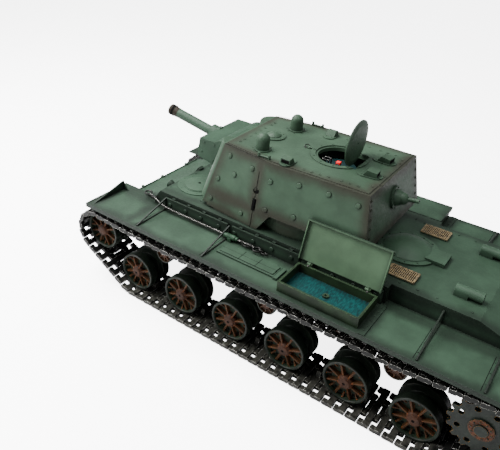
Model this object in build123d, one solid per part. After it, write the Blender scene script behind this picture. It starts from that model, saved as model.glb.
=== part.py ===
from build123d import *
from math import acos, asin, atan2, cos, degrees, hypot, pi, radians, sin, tan
import os

# Remote control heavy tank, scale 1:16, millimetres.
# Frame: origin on the ground under the middle of the road wheels, +X to the bow, +Y to the left, +Z up.

# ---- driving dimensions: running gear ----
WHEEL_COUNT = 6            # road wheels on each side
WHEEL_PITCH = 54.5         # distance between neighbouring road wheels
WHEEL_RADIUS = 18.75
WHEEL_INNER = 69.0         # inner and outer faces of every wheel, from the centre plane
WHEEL_OUTER = 95.0
GUIDE_RADIUS = 12.6        # bottom of the groove that the track's guide horns run in
GUIDE_HALF = 4.5           # half width of that groove
SPOKES = 8
AXLE_RADIUS = 2.0
FIT = 0.05                 # radial running clearance of every wheel on its axle
GAP = 0.4                  # clearance between pieces that move past each other
WHEEL_Z = 23.65
ARM_REACH = 30.0           # the arm's pivot stands this far ahead of its wheel
ARM_RISE = 10.0            # and this far above the wheel's axle
ARM_INNER = 50.4
ARM_OUTER = 58.0
ARM_WIDTH = 7.5
IDLER_Z = 52.0
SPROCKET_Z = 50.0
IDLER_X = 181.25
IDLER_RADIUS = 18.9
ROLLER_XS = (103.0, -6.0, -115.0)
ROLLER_Z = 58.5
ROLLER_RADIUS = 8.9
ROLLER_DISC = 7.0          # width of each of a roller's two discs
ROLLER_PIN = 1.5

# ---- driving dimensions: track ----
TRACK_INNER = 60.0
TRACK_OUTER = 103.75
LINK_PITCH = 10.0
LINK_HALF = 2.6            # half length of a link's plate
LINK_TOP = 2.3             # from the hinge line to the side that the wheels run on
LINK_WEB = 1.5             # from the hinge line to the plate's ground side
LINK_CLEAT = 2.3           # from the hinge line to the cleat's ground face
KNUCKLE = 1.8
WINDOW = (12.2, 17.2)      # tooth window, measured from the track's centre line
INNER_KNUCKLE = (5.85, 12.2)
MIDDLE_KNUCKLE = 5.5
HORN_HEIGHT = 5.2
IDLER_PATH = 21.9          # hinge line's radius round the idler
SPROCKET_TEETH = 16
SPROCKET_PATH = SPROCKET_TEETH * LINK_PITCH / (2 * pi)
SPROCKET_X = IDLER_X + IDLER_PATH - SPROCKET_PATH
TRACK_MID = (TRACK_INNER + TRACK_OUTER) / 2

# ---- driving dimensions: hull ----
WALL = 2.5
HULL_HALF = 50.0
HULL_FLOOR = 26.0
SPLIT_Z = 80.0             # joint between lower and upper hull
ROOF_Z = 98.0
ROOF_HALF = 60.0
ENGINE_HALF = 54.0         # half width of the hull behind the stowage boxes
ENGINE_STEP_X = -88.0
PLATE_FRONT_X = 136.6      # top of the driver's plate
PLATE_FOOT = (143.5, 88.4)
NOSE = (182.0, 76.6)
NOSE_HALF = 56.0
STERN_X = -190.0
STERN_Z = 85.0
DECK_END_X = -152.0
FENDER_Z = 83.0
FENDER_PLATE = 1.2
FENDER_OUTER = 103.75
FENDER_FRONT = 192.0
FENDER_REAR = -197.0
LIP_DEPTH = 4.0
SIDE_PLATES = ((57.0, 128.0), (-14.5, 52.0), (-86.0, -17.5))
SIDE_PLATE_OUT = 62.8
SIDE_PLATE_TOP = 95.0
BRACKET_XS = (127.25, 54.25, -128.0, -172.0)
BRACKET_HEIGHT = 12.0

# ---- driving dimensions: turret ----
TURRET_X = 9.25
RING_RADIUS = 48.0
TURRET_BASE_Z = 98.5
TURRET_SWEEP = 62.5        # radius kept clear on the engine deck
TURRET_ROOF_Z = 158.0
BUSTLE_Z = 113.5
HATCH_UNDERCUTS = ((88.0, 99.2), (94.3, 100.9))  # radius and height kept clear over the driver's hatch
SHELL_WALL = 3.0
ROOF_OUTLINE = ((79.25, 42.0), (32.75, 48.5), (-56.75, 46.5))
BASE_OUTLINE = ((94.3, 52.7), (36.5, 58.0), (-66.4, 57.3))
NOTCH_FRONT_X = 31.0
NOTCH_REAR_X = 20.8
HATCH_X = -8.5
HATCH_OPENING = 17.8
HATCH_SEAT = 19.9
HATCH_RADIUS = 19.4
HATCH_RING = 24.0
HATCH_AXIS = (-22.0, 160.6)
HATCH_OPEN = 92.0
GUN_OPENING_HALF = 31.0
TRUNNION = (88.0, 136.4)
GUN_ELEVATION = 10.2
BARREL_LENGTH = 88.2       # from the trunnions to the muzzle
BARREL_RADIUS = 4.6
RING_GEAR_TEETH = 56
PINION_TEETH = 12
GEAR_MODULE = 1.5
PRESSURE_ANGLE = radians(25)
GEAR_Z = (86.0, 91.0)

# ---- driving dimensions: stowage boxes ----
BOX_X = (-84.0, -17.0)
BOX_Y = (66.6, 99.3)
BOX_TOP = 92.0
BOX_WALL = 1.6
LID_AXIS = (65.6, 93.0)    # y and z of the lid's hinge line
LID_OPEN = 107.0
SIDES = (("left", 1), ("right", -1))


def block(x, y, z):
    """A box between three pairs of limits."""
    size = Box(x[1] - x[0], y[1] - y[0], z[1] - z[0])
    return Pos((x[0] + x[1]) / 2, (y[0] + y[1]) / 2, (z[0] + z[1]) / 2) * size


def rod_y(x, z, radius, y0, y1):
    """A round bar that lies across the tank."""
    return Pos(x, (y0 + y1) / 2, z) * Rot(90, 0, 0) * Cylinder(radius, y1 - y0)


def rod_x(y, z, radius, x0, x1):
    """A round bar that lies along the tank."""
    return Pos((x0 + x1) / 2, y, z) * Rot(0, 90, 0) * Cylinder(radius, x1 - x0)


def rod_z(x, y, radius, z0, z1):
    """A round bar that stands up."""
    return Pos(x, y, (z0 + z1) / 2) * Cylinder(radius, z1 - z0)


def side_shape(points, y0, y1):
    """A side view outline of x and z points, given thickness from y0 to y1."""
    outline = Polyline(*[(x, y0, z) for x, z in points], close=True)
    return extrude(make_face(outline), amount=y1 - y0, dir=(0, 1, 0))


def top_shape(points, z0, z1):
    """A plan outline of x and y points, given height from z0 to z1."""
    outline = Polyline(*[(x, y, z0) for x, y in points], close=True)
    return extrude(make_face(outline), amount=z1 - z0, dir=(0, 0, 1))


def front_shape(points, x0, x1):
    """A front view outline of y and z points, given length from x0 to x1."""
    outline = Polyline(*[(x0, y, z) for y, z in points], close=True)
    return extrude(make_face(outline), amount=x1 - x0, dir=(1, 0, 0))


def both_sides(shape):
    """The shape and its mirror image on the tank's right."""
    return [shape, mirror(shape, about=Plane.XZ)]


def on_side(shape, sign):
    """The shape itself on the left, or its mirror image on the right."""
    return shape if sign > 0 else mirror(shape, about=Plane.XZ)


def dome(x, y, z, radius, height, skirt=0.4):
    """A round cap on a short straight skirt, its foot at z."""
    across = radius * sin(pi / 4)
    sphere = (radius ** 2 + height ** 2) / (2 * height)
    rise = (sphere ** 2 - across ** 2) ** 0.5 - (sphere - height)
    foot = Polyline((radius, 0, skirt), (radius, 0, 0), (0, 0, 0), (0, 0, skirt + height))
    cap = ThreePointArc((0, 0, skirt + height), (across, 0, skirt + rise), (radius, 0, skirt))
    return Pos(x, y, z) * revolve(make_face(foot + cap), axis=Axis.Z)


def save(name, shapes):
    """Write one node, a single solid or a group of separate ones."""
    solids = []
    for shape in shapes if isinstance(shapes, list) else [shapes]:
        solids += shape.solids()
    export_step(solids[0] if len(solids) == 1 else Compound(solids), f"parts/{name}.step")


# ---- running gear ----

def wheel_xs():
    """Road wheel centres from bow to stern."""
    first = WHEEL_PITCH * (WHEEL_COUNT - 1) / 2
    return [first - WHEEL_PITCH * i for i in range(WHEEL_COUNT)]


def spoked_wheel(x, z, radius):
    """A twin disc wheel with a guide groove, dished faces, open spokes and a hub cap."""
    rim = 2.4
    dish = 5.0
    hub = 6.0
    middle = (WHEEL_INNER + WHEEL_OUTER) / 2
    wheel = rod_y(x, z, radius, WHEEL_INNER, WHEEL_OUTER)
    groove = rod_y(x, z, radius + 1, middle - GUIDE_HALF, middle + GUIDE_HALF)
    wheel -= groove - rod_y(x, z, GUIDE_RADIUS, WHEEL_INNER, WHEEL_OUTER)
    for y0, y1 in ((WHEEL_OUTER - dish, WHEEL_OUTER + 1), (WHEEL_INNER - 1, WHEEL_INNER + dish)):
        wheel -= rod_y(x, z, radius - rim, y0, y1) - rod_y(x, z, hub, y0, y1)
    spoke_face = WHEEL_OUTER - dish
    for i in range(SPOKES):
        spoke = block((0, radius - rim + 0.5), (spoke_face - 0.5, WHEEL_OUTER - 0.8), (-0.8, 0.8))
        wheel += Pos(x, 0, z) * Rot(0, 360 / SPOKES * i, 0) * spoke
    wheel += rod_y(x, z, hub - 0.8, WHEEL_OUTER - 1, WHEEL_OUTER + 1.2)
    return wheel - rod_y(x, z, AXLE_RADIUS + FIT, WHEEL_INNER - 1, WHEEL_OUTER - 1.4)


def return_roller(x):
    """Two small discs on a tube, with room between them for the guide horns."""
    roller = rod_y(x, ROLLER_Z, ROLLER_PIN + 1.3, WHEEL_INNER, WHEEL_OUTER - 3)
    for y0 in (TRACK_MID - GUIDE_HALF - ROLLER_DISC, TRACK_MID + GUIDE_HALF):
        disc = rod_y(x, ROLLER_Z, ROLLER_RADIUS, y0, y0 + ROLLER_DISC)
        for face in (y0 - 1, y0 + ROLLER_DISC - 2):
            disc -= rod_y(x, ROLLER_Z, ROLLER_RADIUS - 1.4, face, face + 3) - rod_y(
                x, ROLLER_Z, ROLLER_PIN + 1.9, face, face + 3)
        roller += disc
    bore_end = WHEEL_OUTER - 4.5
    return roller - rod_y(x, ROLLER_Z, ROLLER_PIN + FIT, WHEEL_INNER - 1, bore_end)


def swing_arm(x):
    """The arm that carries one road wheel, with its axle and the boss on the hull's pin."""
    pivot_x = x + ARM_REACH
    pivot_z = WHEEL_Z + ARM_RISE
    length = hypot(ARM_REACH, ARM_RISE)
    tilt = degrees(atan2(ARM_RISE, ARM_REACH))
    bar = block((0, length), (ARM_INNER + 1, ARM_OUTER - 0.6), (-ARM_WIDTH / 2, ARM_WIDTH / 2))
    bar = Rot(0, -tilt, 0) * bar
    arm = Pos(x, 0, WHEEL_Z) * bar
    arm += rod_y(x, WHEEL_Z, 5.0, ARM_INNER + 1, ARM_OUTER)
    arm += rod_y(pivot_x, pivot_z, 5.2, ARM_INNER, ARM_OUTER)
    arm += rod_y(x, WHEEL_Z, 3.4, ARM_OUTER, WHEEL_INNER - GAP)
    arm += rod_y(x, WHEEL_Z, AXLE_RADIUS, ARM_OUTER, WHEEL_OUTER - 2)
    return arm - rod_y(pivot_x, pivot_z, AXLE_RADIUS + FIT, ARM_INNER - 1, ARM_OUTER + 1)


def sprocket():
    """The driving wheel: a drum, two toothed rings, a dished outer face and its shaft."""
    ring_offset = (WINDOW[0] + WINDOW[1]) / 2
    ring_half = 1.6
    tip = SPROCKET_PATH - LINK_TOP - GAP
    root = tip - 3.0
    x = -SPROCKET_X
    wheel = rod_y(x, SPROCKET_Z, 12.0, TRACK_MID - ring_offset, TRACK_MID + ring_offset)
    for centre in (TRACK_MID - ring_offset, TRACK_MID + ring_offset):
        ring = toothed_disc(SPROCKET_TEETH, root, tip, centre - ring_half, centre + ring_half)
        wheel += Pos(x, 0, SPROCKET_Z) * ring
    cover = TRACK_MID + ring_offset + ring_half
    for i in range(SPOKES):
        hole = Pos(15.8, 0, 0) * Rot(90, 0, 0) * Cylinder(2.0, 60)
        wheel -= Pos(x, TRACK_MID, SPROCKET_Z) * Rot(0, 360 / SPOKES * (i + 0.5), 0) * hole
    wheel += rod_y(x, SPROCKET_Z, 8.5, cover - 0.5, cover + 1.2)
    wheel += rod_y(x, SPROCKET_Z, 4.5, cover, cover + 2.4)
    return wheel + rod_y(x, SPROCKET_Z, AXLE_RADIUS, HULL_HALF - 9, TRACK_MID)


def toothed_disc(teeth, root, tip, y0, y1):
    """A disc whose blunt teeth reach up between the track links."""
    points = []
    for i in range(teeth):
        middle = 2 * pi * i / teeth
        for radius, part in ((root, -0.3), (tip, -0.14), (tip, 0.14), (root, 0.3)):
            angle = middle + part * 2 * pi / teeth
            points.append((radius * cos(angle), radius * sin(angle)))
    return side_shape(points, y0, y1)


# ---- track ----

def track_link(with_horn):
    """One link: +X along the track, +Z to the wheels, its hinge lines at both ends at z 0."""
    half_width = (TRACK_OUTER - TRACK_INNER) / 2
    hinge = LINK_PITCH / 2
    link = block((-LINK_HALF, LINK_HALF), (-half_width, half_width), (-LINK_WEB, LINK_TOP))
    link += block((-1.1, 1.1), (-half_width + 2, half_width - 2), (-LINK_CLEAT, -LINK_WEB))
    knuckles = [(1, WINDOW[1], half_width), (1, -half_width, -WINDOW[1])]
    knuckles.append((1, -MIDDLE_KNUCKLE, MIDDLE_KNUCKLE))
    knuckles += [(-1, INNER_KNUCKLE[0], INNER_KNUCKLE[1]), (-1, -INNER_KNUCKLE[1], -INNER_KNUCKLE[0])]
    for end, y0, y1 in knuckles:
        reach = sorted((end * (LINK_HALF - 0.5), end * hinge))
        link += block(reach, (y0, y1), (-KNUCKLE, KNUCKLE - 0.2))
        link += rod_y(end * hinge, 0, KNUCKLE, y0, y1)
    if with_horn:
        horn = front_shape([(-3.2, LINK_TOP), (3.2, LINK_TOP), (1.4, LINK_TOP + HORN_HEIGHT),
                            (-1.4, LINK_TOP + HORN_HEIGHT)], -1.9, 1.9)
        link += horn
    return link


def tangent_points(first, second):
    """Where the line that touches two circles on their right-hand side meets each of them."""
    (x0, z0, r0), (x1, z1, r1) = first, second
    heading = atan2(z1 - z0, x1 - x0) - asin((r1 - r0) / hypot(x1 - x0, z1 - z0))
    side = heading - pi / 2
    return (x0 + r0 * cos(side), z0 + r0 * sin(side)), (x1 + r1 * cos(side), z1 + r1 * sin(side)), side


def track_path():
    """The hinge line of one track as straight runs and arcs, along the ground first."""
    wheel_r = WHEEL_Z - LINK_CLEAT
    last = wheel_xs()[0]
    roller_r = ROLLER_RADIUS + GAP + LINK_TOP
    circles = [(-last, WHEEL_Z, wheel_r), (last, WHEEL_Z, wheel_r), (IDLER_X, IDLER_Z, IDLER_PATH)]
    circles += [(x, ROLLER_Z + roller_r, 0) for x in (ROLLER_XS[0], ROLLER_XS[-1])]
    circles.append((-SPROCKET_X, SPROCKET_Z, SPROCKET_PATH))
    lines = [tangent_points(circles[i], circles[(i + 1) % len(circles)]) for i in range(len(circles))]
    path = []
    for i, (start, end, side) in enumerate(lines):
        path.append(("run", start, end))
        centre = circles[(i + 1) % len(circles)]
        turn = (lines[(i + 1) % len(lines)][2] - side + pi) % (2 * pi) - pi
        path.append(("arc", centre, (side, turn)))
    return path


def stretch_length(stretch):
    kind, first, second = stretch
    if kind == "run":
        return hypot(second[0] - first[0], second[1] - first[1])
    return first[2] * second[1]


def place_on(stretch, distance):
    """Position and heading at a distance along one stretch of the path."""
    kind, first, second = stretch
    if kind == "run":
        heading = atan2(second[1] - first[1], second[0] - first[0])
        return first[0] + distance * cos(heading), first[1] + distance * sin(heading), heading
    angle = second[0] + distance / first[2]
    return first[0] + first[2] * cos(angle), first[1] + first[2] * sin(angle), angle + pi / 2


def track():
    """Every link of one track, each a solid of its own."""
    path = [stretch for stretch in track_path() if stretch_length(stretch) > 0]
    total = sum(stretch_length(s) for s in path)
    count = 2 * round(total / LINK_PITCH / 2)
    step = total / count
    kinds = [track_link(True), track_link(False)]
    links = []
    for i in range(count):
        distance = i * step
        for stretch in path:
            if distance <= stretch_length(stretch):
                break
            distance -= stretch_length(stretch)
        x, z, heading = place_on(stretch, distance)
        links.append(Pos(x, TRACK_MID, z) * Rot(0, -degrees(heading), 0) * kinds[i % 2])
    print("track links", count, "pitch", round(step, 3))
    return links


# ---- hull ----

def lower_hull():
    """The tub: floor, sides, nose and stern."""
    outer = [(-160, HULL_FLOOR), (162, HULL_FLOOR), (182, 48), (182, 73.9), (150, SPLIT_Z), (-189, SPLIT_Z),
             (-189, 42)]
    inner = [(-158.8, HULL_FLOOR + WALL), (160.9, HULL_FLOOR + WALL), (179.5, 49), (179.5, 71.8), (150, 77.4),
             (150, SPLIT_Z + 1), (-186.5, SPLIT_Z + 1), (-186.5, 43.5)]
    hull = side_shape(outer, -HULL_HALF, HULL_HALF)
    hull -= side_shape(inner, -HULL_HALF + WALL, HULL_HALF - WALL)
    for bore in both_sides(rod_y(-SPROCKET_X, SPROCKET_Z, AXLE_RADIUS + 0.4, HULL_HALF - 4, HULL_HALF + 1)):
        hull -= bore
    hull -= block((-13, 13), (-3, 3), (HULL_FLOOR - 1, HULL_FLOOR + WALL + 1))
    return hull


def axle_pins():
    """The fixed pins in the hull's sides that the arms, rollers and idlers turn on."""
    pins = [rod_y(x + ARM_REACH, WHEEL_Z + ARM_RISE, AXLE_RADIUS, HULL_HALF, ARM_OUTER + 1.5)
            for x in wheel_xs()]
    for x in ROLLER_XS:
        boss = rod_y(x, ROLLER_Z, 3.4, HULL_HALF, WHEEL_INNER - 1)
        pins.append(boss + rod_y(x, ROLLER_Z, ROLLER_PIN, HULL_HALF, WHEEL_OUTER - 5))
    bracket = block((170, 190), (HULL_HALF, WHEEL_INNER - 6), (47, 57))
    pins.append(bracket + rod_y(IDLER_X, IDLER_Z, AXLE_RADIUS, HULL_HALF + 1, WHEEL_OUTER - 2))
    solids = []
    for pin in pins:
        solids += both_sides(pin)
    return solids


def side_armour(sign):
    """Bolted-on side plates, held off the hull side by short studs."""
    plates = []
    for x0, x1 in SIDE_PLATES:
        plate = block((x0, x1), (SIDE_PLATE_OUT - 1.6, SIDE_PLATE_OUT), (FENDER_Z, SIDE_PLATE_TOP))
        studs = 4
        for i in range(studs):
            x = x0 + (x1 - x0) * (i + 0.5) / studs
            stud_y = (ROOF_HALF - 0.5, SIDE_PLATE_OUT - 1)
            plate += block((x - 1.5, x + 1.5), stud_y, (88, SIDE_PLATE_TOP + 1))
        plates.append(on_side(plate, sign))
    return plates


def fender():
    """The left fender: flat plate, turned-down lip, front flange and its strengthening strips."""
    plate = block((FENDER_REAR, FENDER_FRONT), (HULL_HALF, FENDER_OUTER), (FENDER_Z - FENDER_PLATE, FENDER_Z))
    lip = (FENDER_OUTER - 1, FENDER_OUTER)
    plate += block((FENDER_REAR, FENDER_FRONT), lip, (FENDER_Z - LIP_DEPTH, FENDER_Z))
    flange = front_shape([(FENDER_OUTER, FENDER_Z - 0.5), (62, FENDER_Z + 8.7), (60, FENDER_Z + 8.7),
                          (60, FENDER_Z - 0.5)], 184.2, 185.4)
    plate += flange
    plate += side_shape([(185, FENDER_Z - 0.5), (185, FENDER_Z + 8.7), (178, FENDER_Z - 0.5)], 60, 61.2)
    plate += block((-91, -86), (HULL_HALF + 12, FENDER_OUTER - 0.5), (FENDER_Z - 0.5, FENDER_Z + 0.7))
    plate += block((FENDER_REAR, FENDER_REAR + 1.2), (HULL_HALF + 5, FENDER_OUTER), (FENDER_Z - 9, FENDER_Z))
    return plate


def upper_hull():
    """Superstructure, engine section and both fenders, a shell open below and at the turret ring."""
    front = [(ENGINE_STEP_X, SPLIT_Z), (ENGINE_STEP_X, ROOF_Z), (PLATE_FRONT_X, ROOF_Z), PLATE_FOOT,
             (PLATE_FOOT[0], SPLIT_Z)]
    engine = [(STERN_X, SPLIT_Z), (STERN_X, STERN_Z), (DECK_END_X, ROOF_Z), (ENGINE_STEP_X + 1, ROOF_Z),
              (ENGINE_STEP_X + 1, SPLIT_Z)]
    glacis = [(PLATE_FOOT[0] - 1, SPLIT_Z), (PLATE_FOOT[0] - 1, PLATE_FOOT[1]), PLATE_FOOT, NOSE,
              (NOSE[0], 74.0), (150, SPLIT_Z)]
    hull = side_shape(front, -ROOF_HALF, ROOF_HALF) + side_shape(engine, -ENGINE_HALF, ENGINE_HALF)
    hull += side_shape(glacis, -NOSE_HALF, NOSE_HALF)
    room = [(STERN_X + 8, SPLIT_Z - 1), (STERN_X + 8, STERN_Z - 1), (DECK_END_X, ROOF_Z - WALL),
            (PLATE_FRONT_X - WALL, ROOF_Z - WALL), (PLATE_FRONT_X - WALL, SPLIT_Z - 1)]
    hull -= side_shape(room, -HULL_HALF + WALL, HULL_HALF - WALL)
    for plate in both_sides(fender()):
        hull += plate
    hull -= rod_z(TURRET_X, 0, RING_RADIUS, ROOF_Z - WALL - 1, ROOF_Z + 1)
    hull -= rod_z(TURRET_X, 0, 45.5, SPLIT_Z - 1, ROOF_Z - WALL + 1) & hull_room_limit()
    for sign in (1, -1):
        for plate in side_armour(sign):
            hull += plate
    return hull


def hull_room_limit():
    """The space between the hull's side walls, where the turret ring turns."""
    return block((-80, 100), (-HULL_HALF + WALL, HULL_HALF - WALL), (SPLIT_Z - 1, ROOF_Z))


def fender_brackets():
    """Open triangular brackets of thin bar that hold the fenders level."""
    brackets = []
    for x in BRACKET_XS:
        inner = SIDE_PLATE_OUT + 0.4 if x > ENGINE_STEP_X else ENGINE_HALF
        outer = FENDER_OUTER - 1.5
        top = FENDER_Z + BRACKET_HEIGHT
        frame = front_shape([(inner, FENDER_Z), (outer, FENDER_Z), (outer, FENDER_Z + 0.9), (inner, top)],
                            x - 0.6, x + 0.6)
        slope = (top - FENDER_Z - 0.9) / (outer - inner)
        frame -= front_shape([(inner + 1.1, FENDER_Z + 0.9), (outer - 3, FENDER_Z + 0.9),
                              (inner + 1.1, top - 1.6 - slope * 1.1)], x - 1, x + 1)
        brackets += both_sides(frame)
    return brackets


# ---- turret ----

def turret_outline(outline, inset, z):
    """A closed six-sided plan of the turret at one height, moved in from its faces."""
    front, middle, rear = outline
    left = [(front[0] - inset, front[1] - inset), (middle[0], middle[1] - inset),
            (rear[0] + inset, rear[1] - inset)]
    points = left + [(x, -y) for x, y in reversed(left)]
    return make_face(Polyline(*[(x, y, z) for x, y in points], close=True))


def outline_at(z):
    """The turret's plan at a height between its base and its roof."""
    part = (z - TURRET_BASE_Z) / (TURRET_ROOF_Z - TURRET_BASE_Z)
    pairs = zip(BASE_OUTLINE, ROOF_OUTLINE)
    return [(b[0] + (r[0] - b[0]) * part, b[1] + (r[1] - b[1]) * part) for b, r in pairs]


def turret_body(inset, z0, z1):
    lower = turret_outline(outline_at(z0), inset, z0)
    upper = turret_outline(outline_at(z1), inset, z1)
    return loft([lower, upper], ruled=True)


def turret_cheeks():
    """The cast front: two rounded cheeks with a thick wall between them."""
    cheek_r = 12.0
    tall = TURRET_ROOF_Z - TURRET_BASE_Z
    lean = degrees(atan2(BASE_OUTLINE[0][0] - ROOF_OUTLINE[0][0], tall))
    side_lean = degrees(atan2(BASE_OUTLINE[0][1] - ROOF_OUTLINE[0][1], tall))
    height = tall - 3
    y = (BASE_OUTLINE[0][1] + ROOF_OUTLINE[0][1]) / 2 - cheek_r - 1
    middle_z = (TURRET_ROOF_Z + TURRET_BASE_Z) / 2 - 0.5
    x = (ROOF_OUTLINE[0][0] + BASE_OUTLINE[0][0]) / 2 - 4.5
    column = Pos(x, y, middle_z) * Rot(side_lean, -lean, 0) * Cylinder(cheek_r, height)
    column &= block((0, 140), (0, 80), (TURRET_BASE_Z, TURRET_ROOF_Z))
    return column + mirror(column, about=Plane.XZ)


def turret_shell():
    """The welded turret: leaning side plates, rear bustle, cheeks, roof with its hatch seat."""
    shell = turret_body(0, TURRET_BASE_Z, TURRET_ROOF_Z)
    notch = [(NOTCH_FRONT_X, TURRET_BASE_Z - 1), (NOTCH_FRONT_X, TURRET_BASE_Z), (NOTCH_REAR_X, BUSTLE_Z),
             (-90, BUSTLE_Z), (-90, TURRET_BASE_Z - 1)]
    shell -= side_shape(notch, -80, 80)
    shell += rod_z(TURRET_X, 0, 51.0, TURRET_BASE_Z, BUSTLE_Z + 1)
    shell += turret_cheeks()
    shell -= turret_room()
    shell -= rod_z(TURRET_X, 0, 44.0, TURRET_BASE_Z - 1, BUSTLE_Z + SHELL_WALL + 1)
    shell -= gun_opening()
    for clear_radius, clear_z in HATCH_UNDERCUTS:
        shell -= rod_z(TURRET_X, 0, 140, TURRET_BASE_Z - 1, clear_z) - rod_z(
            TURRET_X, 0, clear_radius, TURRET_BASE_Z - 2, clear_z + 1)
    roof_plate = turret_outline(ROOF_OUTLINE, 2.2, TURRET_ROOF_Z)
    shell += extrude(roof_plate, amount=0.5, dir=(0, 0, 1))
    shell += rod_z(HATCH_X, 0, HATCH_RING, TURRET_ROOF_Z - 1, TURRET_ROOF_Z + 1.3)
    shell -= rod_z(HATCH_X, 0, HATCH_OPENING, TURRET_ROOF_Z - 6, TURRET_ROOF_Z + 3)
    shell -= rod_z(HATCH_X, 0, HATCH_SEAT, TURRET_ROOF_Z + 0.3, TURRET_ROOF_Z + 3)
    shell -= hatch_pocket()
    return shell - side_seams()


def turret_room():
    """The hollow inside the turret, one wall thickness in from its skin."""
    room = turret_body(SHELL_WALL, TURRET_BASE_Z + SHELL_WALL, TURRET_ROOF_Z - SHELL_WALL)
    floor_z = BUSTLE_Z + SHELL_WALL
    return room - block((-90, NOTCH_FRONT_X + 2 * SHELL_WALL), (-80, 80), (TURRET_BASE_Z - 1, floor_z))


def hatch_pocket():
    """The slot behind the hatch opening that its rear edge dips into as it swings up."""
    x, z = HATCH_AXIS
    half = 14.2
    limit = block((-40, x + 3), (-half, half), (TURRET_ROOF_Z - 8, TURRET_ROOF_Z + 3))
    return rod_y(x, z, 7.4, -half, half) & limit


def gun_opening():
    """The gap in the turret front that the gun mount tips in."""
    x, z = TRUNNION
    return block((x - 17.5, x + 40), (-GUN_OPENING_HALF, GUN_OPENING_HALF), (z - 19, z + 17.5))


def side_seams():
    """Seam, vision slot and round port on both side plates."""
    cuts = []
    seam_x = 37.0
    for z0, z1, half_x, depth in ((TURRET_BASE_Z - 1, 155.5, 0.35, 1.0), (113, 124, 2.0, 2.2)):
        wall = outline_at((z0 + z1) / 2)[1][1]
        cuts.append(block((seam_x - half_x, seam_x + half_x), (wall - depth - 3, wall + 8), (z0, z1)))
    wall = outline_at(131)[1][1]
    cuts.append(rod_y(seam_x, 131, 3.0, wall - 1.2, wall + 5))
    seams = []
    skin = turret_body(1.0, TURRET_BASE_Z - 0.5, TURRET_ROOF_Z)
    for cut in cuts:
        seams += [piece - skin for piece in both_sides(cut)]
    return seams


def turret_base():
    """The turning ring in the hull roof, with the ring gear below it."""
    ring = rod_z(TURRET_X, 0, RING_RADIUS - GAP, 91.0, TURRET_BASE_Z)
    ring -= rod_z(TURRET_X, 0, RING_RADIUS - 5, 90, TURRET_BASE_Z + 1)
    ring -= rod_z(TURRET_X, 0, 60, 90, ROOF_Z - WALL - GAP) - rod_z(TURRET_X, 0, 44.8, 90, ROOF_Z)
    gear = Pos(TURRET_X, 0, GEAR_Z[0]) * gear_solid(RING_GEAR_TEETH, GEAR_Z[1] - GEAR_Z[0], 0)
    hollow = rod_z(TURRET_X, 0, 38.0, GEAR_Z[0] - 1, GEAR_Z[1] + 1)
    neck = rod_z(TURRET_X, 0, 44.8, GEAR_Z[1], GEAR_Z[1] + 1) - rod_z(TURRET_X, 0, 38, GEAR_Z[1] - 1, 93)
    return ring + (gear - hollow) + neck


def involute_flank(start, base, tip):
    """Angle and radius along one flank, from the start radius out to the tip."""
    steps = 3
    flank = []
    for i in range(steps + 1):
        radius = start + (tip - start) * i / steps
        pressure = acos(min(1.0, base / radius))
        flank.append((tan(pressure) - pressure, radius))
    return flank


def gear_solid(teeth, height, turn):
    """A spur gear with involute teeth and a little play, one tooth on +X before the turn."""
    play = 0.12
    pitch_r = GEAR_MODULE * teeth / 2
    base = pitch_r * cos(PRESSURE_ANGLE)
    tip = pitch_r + 0.8 * GEAR_MODULE
    root = pitch_r - 1.1 * GEAR_MODULE
    start = max(base, root)
    inv = tan(PRESSURE_ANGLE) - PRESSURE_ANGLE
    half = pi / (2 * teeth) - play / pitch_r / 2 + inv
    flank = involute_flank(start, base, tip)
    points = []
    for i in range(teeth):
        middle = 2 * pi * i / teeth + turn
        side = [(middle - half + angle, radius) for angle, radius in flank]
        other = [(middle + half - angle, radius) for angle, radius in reversed(flank)]
        edge = [(side[0][0], root)] if root < start else []
        far = [(other[-1][0], root)] if root < start else []
        points += [(radius * cos(a), radius * sin(a)) for a, radius in edge + side + other + far]
    return top_shape(points, 0, height)


def pinion_x():
    return TURRET_X + GEAR_MODULE * (RING_GEAR_TEETH + PINION_TEETH) / 2


def turret_pinion():
    """The small gear on the turning motor's shaft, in mesh with the ring gear."""
    turn = pi - pi / PINION_TEETH
    gear = Pos(pinion_x(), 0, GEAR_Z[0]) * gear_solid(PINION_TEETH, GEAR_Z[1] - GEAR_Z[0], turn)
    gear -= rod_z(pinion_x(), 0, 1.5 + FIT, GEAR_Z[0] - 1, GEAR_Z[1] + 1)
    return gear


def commander_hatch():
    """A round conical lid on an inset hinge, standing open."""
    x, z = HATCH_AXIS
    seat = TURRET_ROOF_Z + 0.7
    cone = Pos(HATCH_X, 0, seat + 1.4) * Cone(HATCH_RADIUS - 0.6, HATCH_RADIUS - 4.5, 0.9)
    lid = rod_z(HATCH_X, 0, HATCH_RADIUS, seat, seat + 1.0) + cone
    lid -= rod_z(HATCH_X, 0, 0.8, seat - 1, seat + 4)
    lid += rod_y(x, z - 1.2, 1.0, -9, 9)
    spin = Pos(x, 0, z) * Rot(0, -HATCH_OPEN, 0) * Pos(-x, 0, -z)
    return spin * lid


def tip_gun(shape):
    """Raise a piece drawn level to the gun's resting elevation."""
    x, z = TRUNNION
    return Pos(x, 0, z) * Rot(0, -GUN_ELEVATION, 0) * shape


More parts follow.
